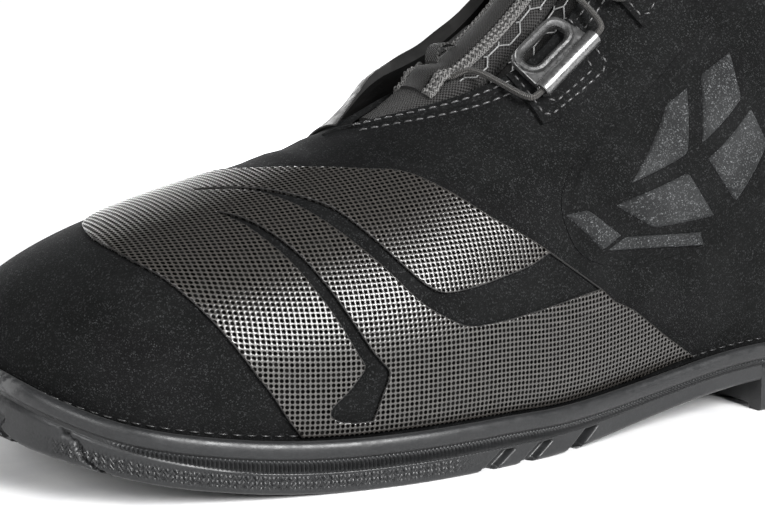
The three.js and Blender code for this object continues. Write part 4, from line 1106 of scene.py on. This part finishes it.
SOLE_PLAN = np.array([
    [0, 10, 10], [1.3, 1.5, 18.5], [4.7, -8.8, 28.8], [13.7, -25.3, 40.8], [29.5, -39.5, 48.7], [51.5, -46.3, 53],
    [78, -50.9, 53.5], [104, -53.5, 52.3], [136, -51.3, 47.5], [173, -46, 43], [214, -43.4, 41],
    [250, -42.5, 41], [276, -38.5, 37.5], [291, -29.8, 28.8], [299, -16, 15.5], [302, 0, 0],
])


def plan_loop(spacing):
    """The sole's edge seen from above, once round, evenly spaced: outer side toe to heel, then back."""
    f = np.linspace(0, len(SOLE_PLAN) - 1, 2400)
    i = np.clip(np.floor(f), 0, len(SOLE_PLAN) - 2).astype(int)
    rows = np.vstack([SOLE_PLAN[:1], SOLE_PLAN, SOLE_PLAN[-1:]])
    p = spline(rows[i], rows[i + 1], rows[i + 2], rows[i + 3], (f - i)[:, None])
    x = p[:, 0] * LENGTH_SCALE - BOOT_LENGTH / 2
    outer = np.stack([x, p[:, 1] * WIDTH_SCALE], axis=-1)
    inner = np.stack([x, p[:, 2] * WIDTH_SCALE], axis=-1)
    half = int(round(arc(outer)[-1] / spacing))
    sides = [resampled(outer, half + 1), resampled(inner, half + 1)]
    return np.concatenate([sides[0], sides[1][::-1][1:-1]]), half


SOLE_SPACING = 0.27
ZIG_LENGTH, ZIG_ROWS = 2.1, 12


def add_sole():
    loop, half = plan_loop(SOLE_SPACING)
    count = len(loop)
    run = unit(np.roll(loop, -3, axis=0) - np.roll(loop, 3, axis=0))
    inward = np.stack([-run[:, 1], run[:, 0]], axis=-1)
    s = station_s(loop[:, 0])
    length = np.arange(count) * SOLE_SPACING
    outer_side = np.arange(count) <= half
    low, top = ground(s), sole_top(s)
    # A wall of rows from the ground up: how far in from the plan, and the height.
    rows = []
    band = smooth((s - 14) / 60) * smooth((232 - s) / 26)
    rib_high = 0.7 + 2.5 * band
    rib_wave = np.clip(np.sin(2 * np.pi * length / 1.08) * 1.8, -1, 1)
    rib_on = smooth((s - 20) / 12) * smooth((236 - s) / 14)
    wall = top - low

    def cuts(z):
        """Grooves and notches that cross the wall near the ground."""
        rise = z - low
        cut = np.zeros(count)
        for centre, lean, high in ((2.5, 6.0, 8.5), (13.5, 10.5, 8.5)):
            u = np.clip(rise / high, 0, 1)
            line = centre + lean * (1 - u) - 1.5 * np.sin(u * np.pi * 2)
            cut += 1.2 * smooth(1.4 - np.abs(s - line) / 0.75) * (rise < high) * smooth((high - rise) / 1.2)
        for centre, deep in ((118.0, 2.0), (130.5, 2.0), (147.0, 4.2)):
            line = centre + 1.4 * rise
            cut += deep * smooth(2.4 - np.abs(s - line) / 1.15) * (rise < 4.6)
        return cut * (outer_side | (s < 60))

    def row(inset, z, notch=True):
        shift = inset + (cuts(z) if notch else 0)
        xy = loop + inward * np.broadcast_to(shift, (count,))[:, None]
        xy[:, 0] = np.clip(xy[:, 0], SOLE_LOW[0], SOLE_HIGH[0])
        rows.append(np.column_stack([xy, z]))

    row(6.2, low + 1.6, False)
    row(5.6, low + 0.1)
    row(2.6, low)
    for k in range(4):
        turn = math.radians(30 * k)
        row(2.3 - 1.3 * math.sin(turn), low + 1.3 * (1 - math.cos(turn)) * 0.9)
    # The herringbone band; its first and last rows stay flat.
    zig = np.abs(((length / ZIG_LENGTH) % 1) - 0.5) * 2
    zig_on = smooth((s - 8) / 10) * smooth((120 - s) / 16)
    stretch = np.clip(wall / 12.5, 0.8, 1.0)
    for k in range(ZIG_ROWS):
        h = 1.35 + 0.36 * k
        wave = np.sin(2 * np.pi * (h * 0.75 + zig * 1.25)) if 0 < k < ZIG_ROWS - 1 else 0.0
        row(1.0 - 0.3 * wave * zig_on, low + h * stretch)
    base = low + 5.31 * stretch
    rib_top = top - 4.9
    rib_low = np.maximum(rib_top - rib_high, base + 0.2)
    for k in (0.33, 0.66):
        row(0.95, base + (rib_low - 0.45 - base) * k)
    row(1.0, rib_low - 0.42)
    row(1.25, rib_low - 0.2)
    for k in range(8):
        u = k / 7
        bulge = math.sin(math.pi * (0.08 + 0.84 * u)) ** 0.7
        row(1.35 - rib_on * (0.62 + 0.56 * rib_wave) * bulge, rib_low + (rib_top - rib_low) * u)
    row(1.35, rib_top + 0.2)
    for k in range(13):
        turn = math.radians(-80 + 160 * k / 12)
        row(1.5 - 1.5 * math.cos(turn) ** 0.8, top - 2.25 + 2.2 * math.sin(turn) / math.sin(math.radians(80)))
    row(1.75, top + 0.02)
    row(2.6, top - 0.25)
    row(3.0, top - 1.2)
    row(3.3, cup_floor(s))
    grid = np.array(rows)
    faces = grid_faces(len(rows), count, around=True).tolist()
    for level, turn in ((0, 1), (len(rows) - 1, -1)):
        for k in range(half):
            a, b = k, k + 1
            c, d = (count - k - 1) % count, (count - k) % count
            face = [a, b, c, d] if k else [a, b, c]
            if k == half - 1:
                face = [a, b, d]
            faces.append([level * count + n for n in face][::turn])
    piece = mesh_object("sole_rubber", (grid.reshape(-1, 3), faces), RUBBER, sharp=70)
    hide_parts("outsole")


def inside_plan(x, y, margin):
    """Whether a point lies inside the sole's plan by a margin."""
    s = station_s(x)
    outer = np.interp(s, SOLE_PLAN[:, 0], SOLE_PLAN[:, 1]) * WIDTH_SCALE + margin
    inner = np.interp(s, SOLE_PLAN[:, 0], SOLE_PLAN[:, 2]) * WIDTH_SCALE - margin
    return (y > outer) & (y < inner) & (s > margin * 1.6) & (s < 302 - margin * 1.6)


def lug(cx, cy, long, wide, slant, high):
    """A bevelled rubber block hanging below the sole's floor."""
    turn = np.linspace(0, 2 * np.pi, 16, endpoint=False)
    c, s = np.cos(turn), np.sin(turn)
    x = np.sign(c) * np.abs(c) ** 0.35 * long / 2
    y = np.sign(s) * np.abs(s) ** 0.35 * wide / 2
    rows = []
    for inset, drop in ((0.0, 0.0), (0.05, high - 0.4), (0.4, high), (0.9, high + 0.05)):
        k = 1 - inset / (wide / 2)
        px, py = cx + x * k + slant * y * k, cy + y * k
        z = ground(station_s(px)) + 1.75 - drop
        rows.append(np.stack([px, py, z], axis=-1))
    return np.array(rows).reshape(-1, 3), capped_faces(len(rows), len(turn))


def add_tread():
    parts = []
    for i in range(27):
        for j in range(-4, 5):
            x = -136 + 10.4 * i
            y = 4.5 + 10.2 * j + (5.1 if i % 2 else 0)
            slant = 0.45 if y > 4.5 else -0.45
            reach = np.array([-4.6, 4.6])
            near = abs(station_s(x) - HEEL_BREAST) < 6
            clear = inside_plan(x + reach, y + reach, 6.6).all() and inside_plan(x + reach, y - reach, 6.6).all()
            if not near and clear:
                parts.append(lug(x, y, 8.2, 7.6, slant, 1.6))
    mesh_object("tread_lugs", joined(parts), RUBBER, sharp=50)


def add_sole_stitching():
    """Stitches showing just above the rubber's edge, all round."""
    lines = []
    t = np.linspace(1.2, 9.15, 400)
    for side in (-1, 1):
        lines.append((t, edge_angle(t, side, lambda s: sole_top(s) + 0.75)))
    parts = [stitch_line(t, a, 0.22, 3.4, 2.3, 0.24) for t, a in lines]
    mesh_object("sole_stitches", joined(parts), DARK_THREAD, sharp=None)


# ---- lace guides ----

GUIDE_LENGTH, GUIDE_WIDTH, GUIDE_ROLL, GUIDE_BORE = 22.0, 13.0, 2.3, 1.5
GUIDE_STATIONS = (8.2, 9.6, 10.9)
GUIDE_ANGLES = {-1: 59.0, 1: 124.0}
GUIDE_LIFTS = {-1: 4.6, 1: 2.8}
PLATE_LOW, PLATE_TOP = -GUIDE_ROLL, -0.3
SLOT_RADIUS = 2.5
SLOT_HALF = 7.2 - SLOT_RADIUS
SLOT_MIDDLE = GUIDE_WIDTH / 2 - 2.3 - SLOT_RADIUS


def guide_seat(side, k):
    seat = seat_frame(GUIDE_STATIONS[k], GUIDE_ANGLES[side], GUIDE_LIFTS[side])
    if side > 0:
        seat = seat @ np.diag([-1.0, -1.0, 1.0, 1.0])
    return seat


def guide_outline(count=120):
    """The plate's edge: a rounded trapezoid, wide at the rolled side."""
    half, reach = GUIDE_LENGTH / 2, GUIDE_WIDTH / 2
    corners = [(-half + 0.2, -reach), (half - 0.2, -reach), (half - 1.6, reach), (-half + 1.6, reach)]
    points = []
    for k, corner in enumerate(corners):
        before, after = np.array(corners[k - 1]), np.array(corners[(k + 1) % 4])
        corner = np.array(corner)
        radius = 0.6 if k < 2 else 3.2
        start = corner + (before - corner) / np.linalg.norm(before - corner) * radius
        stop = corner + (after - corner) / np.linalg.norm(after - corner) * radius
        for f in np.linspace(0, 1, 7):
            points.append(start * (1 - f) ** 2 + corner * 2 * f * (1 - f) + stop * f ** 2)
    points.append(points[0])
    return resampled(np.array(points), count + 1)[:-1]


def guide_shape():
    outline = guide_outline()
    spine = np.stack([np.clip(outline[:, 0], -SLOT_HALF, SLOT_HALF), np.full(len(outline), SLOT_MIDDLE)], axis=-1)
    away = outline - spine
    far = np.linalg.norm(away, axis=-1)
    away /= far[:, None]

    def ring(distance, z):
        reach = np.minimum(distance, far * 0.985) if np.isscalar(distance) else distance
        return np.column_stack([spine + away * np.broadcast_to(reach, far.shape)[:, None], np.full(len(far), z)])

    # The plate's edge from its underside up, the raised lip round the slot, and the slot's wall down again.
    edge = [(-0.25, PLATE_LOW), (0, PLATE_LOW + 0.3), (0, PLATE_TOP - 0.5), (-0.18, PLATE_TOP - 0.12),
            (-0.5, PLATE_TOP)]
    lip = [(2.5, 0.02), (2.25, 0.25), (2.15, 0.8), (1.9, 1.1), (1.2, 1.2), (0.6, 0.75), (0.45, 0.4), (0.12, 0.1),
           (0, -0.3)]
    rows = [ring(far + inset, z) for inset, z in edge]
    rows += [ring(SLOT_RADIUS + away_from_slot, PLATE_TOP + rise) for away_from_slot, rise in lip]
    rows += [ring(SLOT_RADIUS, PLATE_LOW + 0.2), ring(SLOT_RADIUS + 0.2, PLATE_LOW), ring(far - 0.25, PLATE_LOW)]
    grid = np.array(rows)
    plate = (grid[:-1].reshape(-1, 3), grid_faces(len(rows) - 1, len(outline), around=True).tolist())
    n, m = len(rows) - 1, len(outline)
    for j in range(m):
        plate[1].append([(n - 1) * m + j, (n - 1) * m + (j + 1) % m, (j + 1) % m, j])
    half = GUIDE_LENGTH / 2
    profile = [(GUIDE_BORE, -half + 0.3), (GUIDE_BORE + 0.2, -half), (GUIDE_ROLL - 0.25, -half),
               (GUIDE_ROLL, -half + 0.3), (GUIDE_ROLL, half - 0.3), (GUIDE_ROLL - 0.25, half),
               (GUIDE_BORE + 0.2, half), (GUIDE_BORE, half - 0.3)]
    points, faces = turned([(r, h, 0) for r, h in profile], 32)
    roll = np.stack([points[:, 2], points[:, 0] - GUIDE_WIDTH / 2, points[:, 1]], axis=-1)
    return joined([plate, (roll, faces)])


def add_guides():
    points, faces = guide_shape()
    for label, side in (("lateral", -1), ("medial", 1)):
        for k in range(3):
            name = f"lace_guide_{label}_{k + 1}"
            piece = mesh_object("fine_" + name, (moved(points, guide_seat(side, k)), faces), GUNMETAL,
                                sharp=38, weld=True)
            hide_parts(name)


def add_guide_tabs():
    """Stitched nubuck tabs that hold the outer guides."""
    rows = []
    for k, station in enumerate(GUIDE_STATIONS):
        t = stations(station - 0.47, station + 0.47, 0.04)
        low = np.full(t.shape, 44.0) + 1.6 * np.abs((t - station) / 0.47) ** 3
        high = np.minimum(np.full(t.shape, 65.0), 89.6 - throat_angle(t))
        dome = lambda tt, a: 0.25 + 1.1 * smooth((a - 44) / 2.0) ** 0.5
        tab = mesh_object(f"guide_tab_{k + 1}", layer_between(t, low, high, 26, 0.05, dome), NUBUCK)
        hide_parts(f"guide_tab_lateral_{k + 1}")
        for inset in (0.06, 0.2):
            reach = 0.47 - inset
            base = 45.2 + inset * 14
            a = [62, 56, base + 1.5, base, base, base + 1.5, 56, 62]
            tt = [station - reach, station - reach, station - reach, station - reach * 0.82,
                  station + reach * 0.82, station + reach, station + reach, station + reach]
            rows.append((tt, a))
    add_stitches("guide_tab_stitches", rows, lift=1.45, pitch=2.7, length=1.9)


# ---- tongue ----


def add_tongue():
    t = stations(6.45, 13.9, 0.08)
    half = np.minimum(19.0, 0.78 * throat_angle(t))

    def top(tt, a):
        share = (a - 90) / half[:, None]
        wrinkle = 0.35 * np.sin(tt * 9 + share * 2) * np.exp(-((tt - 7.3) / 0.9) ** 2)
        edge = np.maximum(1 - np.abs(share) ** 7, 0) ** 0.5
        return -3.2 + 2.1 * edge + wrinkle * edge

    def back(tt, a):
        share = (a - 90) / half[:, None]
        edge = np.maximum(1 - np.abs(share) ** 5, 0) ** 0.5
        thick = 5.2 * smooth((tt - 6.45) / 0.8) * smooth((13.95 - tt) / 0.12)
        return -4.0 - thick * edge

    front = grid_of(t, 90 - half, 90 + half, 44, top)
    piece = mesh_object("tongue_pad", slab(front, grid_of(t, 90 - half, 90 + half, 44, back)), KNIT, body="tongue",
                        uv=mm_uv(front), sharp=60)
    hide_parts("tongue")


def lace_arch(tt):
    """The rise of the tapes where the lowest lace runs beneath them."""
    return 2.0 * np.exp(-((tt - 7.26) / 0.11) ** 2)


def add_tongue_trim():
    t = stations(7.02, 13.4, 0.04)
    full = np.ones(t.shape)
    strip_lift = lambda tt, a: -0.75 + 0.72 * np.maximum(1 - np.abs((a - 90) / 6.5) ** 6, 0) ** 0.5 + lace_arch(tt)
    strip_base = lambda tt, a: -0.95 + lace_arch(tt)
    add_cloth_layer("tongue_centre_strip", t, 83.5 * full, 96.5 * full, 22, strip_base, strip_lift, STRIP, "tongue",
                    "tongue_strip")
    fine = stations(7.02, 13.4, 0.0125)
    full = np.ones(fine.shape)
    reach = arc(place(fine, 80 * full, 0 * full))
    for label, side in (("lateral", -1), ("medial", 1)):
        low, high = sorted((90 + side * 7.2, 90 + side * 13.0))

        def ribs(tt, a):
            share = (a - low) / (high - low)
            cord = np.abs(np.sin(np.pi * reach / 1.55))[:, None]
            twin = np.abs(np.sin(np.pi * share * 2)) ** 0.6
            relief = (0.45 + 1.0 * cord) * twin * (0.3 + 0.7 * np.sin(np.pi * share) ** 0.4)
            return -0.9 + relief + lace_arch(tt)

        base = lambda tt, a: -0.98 + lace_arch(tt)
        add_cloth_layer(f"ribbed_tape_{label}", fine, low * full, high * full, 12, base, ribs, TAPE, "tongue",
                        f"tongue_tape_{label}")


NET_START = 13.4


def add_gussets():
    t = stations(7.5, 12.9, 0.08)
    for label, side in (("lateral", -1), ("medial", 1)):
        near = np.full(t.shape, 90 + side * 18.6)
        far = 90 + side * (throat_angle(t) + 6)
        low, high = (near, far) if side > 0 else (far, near)

        def sag(tt, a):
            share = np.clip((a - low[:, None]) / (high - low)[:, None], 0, 1)
            return -5.9 + 1.9 * np.sin(np.pi * share) ** 1.3 * (0.6 if side > 0 else 1.0)

        under = lambda tt, a: sag(tt, a) - 1.1
        piece = add_cloth_layer(f"gusset_{label}", t, low, high, 26, under, sag, MESH_CLOTH, None,
                                f"{label}_gusset")
        near_point = place(10, 90 + side * 19, -6)
        far_point = place(10, 90 + side * 30, -6)
        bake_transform(piece)
        net = honeycomb(7.55, 12.8, lambda x: 90 + side * 18.9, lambda x: 90 + side * (throat_angle(x) + 3.5),
                        lambda tt, a: np.interp(np.abs(a - 90), (19, 24, 30), (-5.2, -3.9, -4.3)), side)
        threads = mesh_object(f"gusset_net_{label}", net, NET, body=None, sharp=None)
        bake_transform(threads)
        net = honeycomb(7.35, 13.2, lambda x: 90 + side * NET_START, lambda x: 90 + side * 18.4,
                        lambda tt, a: -1.0 - 0.012 * (np.abs(a - 90) - 13) ** 2, side)
        mesh_object(f"tongue_net_{label}", net, NET, body="tongue", sharp=None)


def honeycomb(t_low, t_high, near, far, lift, side):
    """Threads of an elongated hexagon net from the tape outwards, kept between two edge angles."""
    tape = 90 + side * NET_START
    cell_t, cell_mm = 0.34, 5.4
    segments = []
    for row in range(-1, int((t_high - t_low) / (cell_t * 0.75)) + 2):
        for column in range(-1, 8):
            t0 = t_low + row * cell_t * 0.75
            m0 = (column + row % 2 / 2) * cell_mm - 1.4
            corner = [(0.5, 0), (0.25, 0.5), (-0.25, 0.5), (-0.5, 0)]
            for (p, q), (p2, q2) in zip(corner, corner[1:]):
                segments.append(((t0 + p * cell_t, m0 + q * cell_mm), (t0 + p2 * cell_t, m0 + q2 * cell_mm)))
    parts = []
    for (ta, ma), (tb, mb) in segments:
        f = np.linspace(0, 1, 9)
        t = ta + (tb - ta) * f
        a = tape + side * offset_angle(t, ma + (mb - ma) * f)
        ok = (t > t_low) & (t < t_high) & (side * (a - near(t)) > 0) & (side * (far(t) - a) > 0)
        t, a = t[ok], a[ok]
        if len(t) > 2:
            parts.append(sweep(place(t, a, lift(t, a)), 0.25, 5))
    return joined(parts)


def add_tongue_tab():
    end = place(13.9, 90, (TONGUE_BACK + TONGUE_TOP) / 2)
    path = [
        place(13.55, 90, TONGUE_BACK - 2.0), place(13.9, 90, TONGUE_BACK - 2.0), end + (3.6, 0, 7.2), end + (0, 0, 12),
        end + (-3.6, 0, 7.2), place(13.9, 90, TONGUE_TOP + 1.0), place(13.78, 90, TONGUE_TOP + 1.0),
    ]
    shape, uv, _ = strap(path, 14, 1.2, 60)
    piece = mesh_object("tongue_tab", shape, WEBBING, body="tongue", uv=uv)
    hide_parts("tongue_pull_tab")


def add_tongue_fold():
    """A small folded loop of tape low on the tongue."""
    base = place(7.42, 93, 0.3)
    across = unit(place(7.42, 101, 0.3) - place(7.42, 85, 0.3))
    up = unit(place(7.8, 93, 0.3) - base)
    out = normal(7.42, 93.0)
    path = [base + up * u + out * o for u, o in ((0, 0.2), (1.2, 1.6), (3.4, 2.9), (5.6, 2.2), (6.6, 0.9), (7.4, 0.2))]
    line = resampled(curve_through(path), 30)
    rows = [[line + across * w + out * sign * 0.35 for w in np.linspace(-3.2, 3.2, 7)] for sign in (1, -1)]
    grids = [np.array(side).transpose(1, 0, 2) for side in rows]
    mesh_object("tongue_fold", slab(*grids), KNIT, body="tongue",
                uv=mm_uv(grids[0]))


# ---- closure dial ----

DIAL_SEAT = seat_frame(12.4, 90.0, 1.2)


def dial_piece(name, shape, material, body, node, sharp=40):
    points, faces = shape
    piece = mesh_object(name, (moved(points, DIAL_SEAT), faces), material, body=body, weld=True, sharp=sharp)
    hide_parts(node)


def add_dial():
    grips = lambda angle: np.clip(np.cos(angle * 26) * 1.4, -1, 1)
    knob = [(11.7, 8.0, 0), (13.6, 8.0, 0), (13.85, 8.3, .3), (13.85, 9.0, .35), (13.8, 11.5, .35),
            (13.7, 12.4, .3), (13.3, 13.0, .2), (12.7, 13.55, .05), (12.0, 13.85, 0), (11.2, 14.0, 0),
            (10.6, 13.7, 0), (10.2, 13.45, 0), (5.4, 13.45, 0), (5.0, 13.6, 0), (4.6, 14.0, 0), (4.05, 14.0, 0),
            (3.9, 13.8, 0), (3.9, 12.0, 0), (11.7, 12.0, 0)]
    dial_piece("dial_cap", turned(knob, 312, grips), PLASTIC, "knob", "dial_knob")
    housing = [(0.001, 1.5, 0), (12.2, 1.5, 0), (12.8, 1.9, 0), (12.8, 6.7, 0), (12.3, 7.3, 0), (11.4, 7.3, 0),
               (11, 7, 0), (11, 2.5, 0), (3.2, 2.5, 0), (3.2, 10.3, 0), (1.6, 10.3, 0), (1.6, 2.5, 0), (0.001, 2.5, 0)]
    dial_piece("dial_case", turned(housing), PLASTIC, "tongue", "dial_housing")
    plate = [(0.001, 0, 0), (14.5, 0, 0), (15, 0.3, 0), (15, 0.8, 0), (14.6, 1.2, 0), (0.001, 1.2, 0)]
    dial_piece("dial_base", turned(plate), PLASTIC, "tongue", "dial_plate")
    screw = [(0.001, 2.8, 0), (1.2, 2.8, 0), (1.2, 10.6, 0), (3.5, 10.6, 0), (3.5, 12.8, 0), (3.2, 13.2, 0),
             (2.6, 13.4, 0), (1.7, 13.4, 0), (1.6, 12.3, 0), (0.001, 12.3, 0)]
    dial_piece("dial_fastener", turned(screw, 48), STEEL, "tongue", "dial_screw")


# ---- lace ----

LACE_RADIUS = 0.85
LACE_SIDES = 12
LACE_HEIGHT = 4.5
LACE_MIDDLE = 3.0
UNDER, OVER = 1.9, 4.1


def dial_exit(side, radius, drop=0.0):
    turn = math.radians(50)
    return moved([-radius * math.cos(turn), side * radius * math.sin(turn), LACE_HEIGHT - drop], DIAL_SEAT)


def through_guide(side, k, upwards):
    half = GUIDE_LENGTH / 2
    stops = [(-half - 3.5, 0.6, 0.3), (-half - LACE_RADIUS, 0, 0), (-half + 3.5, 0, 0), (0, 0, 0),
             (half - 3.5, 0, 0), (half + LACE_RADIUS, 0, 0), (half + 3.5, 0.6, 0.3)]
    line = moved([(x, y - GUIDE_WIDTH / 2, z) for x, y, z in stops], guide_seat(side, k))
    return list(line if upwards == (side < 0) else line[::-1])


def across(side, start, stop, lift):
    line = []
    for f in (0.3, 0.5, 0.7):
        rise = lift if f == 0.5 else (lift + 2.3) / 2 + 0.3
        line.append(place(start + (stop - start) * f, 90 + side * (0.5 - f) * 80, rise))
    return line


def lace_route():
    low, middle, high = GUIDE_STATIONS
    return [
        dial_exit(-1, 13.2), dial_exit(-1, 16.8, 1.5),
        *through_guide(-1, 2, False), *across(-1, high - 0.7, middle + 0.7, OVER),
        *through_guide(1, 1, False), *across(1, middle - 0.7, low + 0.6, OVER),
        *through_guide(-1, 0, False),
        place(7.5, 73, 1.4), place(7.32, 78, 0.1), place(7.24, 83, -0.2), place(7.22, 90, -0.1), place(7.24, 97, -0.2),
        place(7.32, 102, 0.1), place(7.5, 107, 1.4),
        *through_guide(1, 0, True), *across(1, low + 0.6, middle - 0.7, UNDER),
        *through_guide(-1, 1, True), *across(-1, middle + 0.7, high - 0.7, UNDER),
        *through_guide(1, 2, True),
        dial_exit(1, 16.8, 1.5), dial_exit(1, 13.2),
    ]


def add_lace():
    """The lace in lengths that end in the boot's middle, so that both ends of each follow the joint."""
    line = curve_through(lace_route(), 14)
    side = np.where(line[:, 1] < LACE_MIDDLE, -1, 1)
    cuts = np.flatnonzero(np.diff(side)) + 1
    bounds = [0, *cuts, len(line)]
    reach = arc(line)
    first = True
    for n, (start, stop) in enumerate(zip(bounds, bounds[1:])):
        stop = min(stop + 1, len(line))
        part = line[start:stop]
        if len(part) < 4:
            continue
        shape = len(part), LACE_SIDES
        turn = np.arange(LACE_SIDES) / LACE_SIDES
        uv = np.stack([np.broadcast_to(turn, shape), np.broadcast_to(reach[start:stop, None], shape)], -1)
        piece = mesh_object(f"lace_{n + 1}", sweep(part, LACE_RADIUS, LACE_SIDES), CORD, body=None,
                            uv=uv.reshape(-1, 2), sharp=None)
        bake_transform(piece)
        if first:
            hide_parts("lace")
            first = False


# ---- stage and light ----


def add_floor():
    mesh = bpy.data.meshes.new("floor")
    reach = 3.0
    corners = [(-reach, -reach, 0), (reach, -reach, 0), (reach, reach, 0), (-reach, reach, 0)]
    mesh.from_pydata(corners, [], [(0, 1, 2, 3)])
    look = Look("floor_paper", 0.82, 0.9, Specular_IOR_Level=0.1)
    look.set("Base Color", look.mix(look.span(look.noise(90, 3), 0.3, 0.7), (0.80, 0.80, 0.81), (0.86, 0.86, 0.86)))
    look.bump(look.noise(600, 3), 0.2, 0.3)
    # Painted light: the floor glows, not at all within 0.16 m of the middle and nearly white beyond 0.62 m, though it
    # is no lamp.
    far = look.node("VectorMath", {0: look.object}, operation="LENGTH").outputs["Value"]
    look.set("Emission Color", (1, 1, 1))
    look.set("Emission Strength", look.span(far, 0.16, 0.62, 0.0, 0.95))
    mesh.materials.append(look.material)
    floor = bpy.data.objects.new("floor", mesh)
    bpy.context.scene.collection.objects.link(floor)


def add_light(name, place_at, aim, size, power, size_y=None):
    light = bpy.data.lights.new(name, "AREA")
    light.shape = "RECTANGLE"
    light.size, light.size_y = size, size_y or size
    light.energy = power
    lamp = bpy.data.objects.new(name, light)
    lamp.location = place_at
    lamp.rotation_euler = (Vector(aim) - Vector(place_at)).to_track_quat("-Z", "Y").to_euler()
    bpy.context.scene.collection.objects.link(lamp)


def add_studio():
    world = bpy.context.scene.world or bpy.data.worlds.new("studio")
    bpy.context.scene.world = world
    world.use_nodes = True
    tree = world.node_tree
    seen = tree.nodes.new("ShaderNodeLightPath").outputs["Is Camera Ray"]
    strength = tree.nodes.new("ShaderNodeMapRange")
    strength.inputs["To Min"].default_value = 0.16
    strength.inputs["To Max"].default_value = 1.05
    tree.links.new(seen, strength.inputs["Value"])
    background = tree.nodes["Background"]
    background.inputs["Color"].default_value = (1, 1, 1, 1)
    tree.links.new(strength.outputs[0], background.inputs["Strength"])
    add_light("key_soft", (0.1, -0.93, 0.54), (-0.04, -0.04, 0.05), 0.5, 25, size_y=0.5)
    add_light("toe_soft", (-1.0, -0.55, 0.55), (-0.08, -0.02, 0.04), 0.5, 7)
    add_light("back_wall", (0.32, 1.5, 0.42), (0, 0, 0.06), 3.0, 28, size_y=0.45)
    bpy.context.scene.view_settings.view_transform = "Standard"


def build():
    add_upper()
    add_lining()
    add_eyestay_edge()
    add_guard()
    add_ankle_guard("ankle_guard_outer", "lateral_ankle_guard", 20.0)
    add_ankle_guard("ankle_guard_inner", "medial_ankle_guard", 164.0)
    add_flap()
    add_collar()
    add_backstay()
    add_pull_loop()
    add_sole()
    add_tread()
    add_sole_stitching()
    add_guides()
    add_guide_tabs()
    add_tongue()
    add_tongue_trim()
    add_gussets()
    add_tongue_tab()
    add_tongue_fold()
    add_dial()
    add_lace()
    add_floor()
    add_studio()


build()
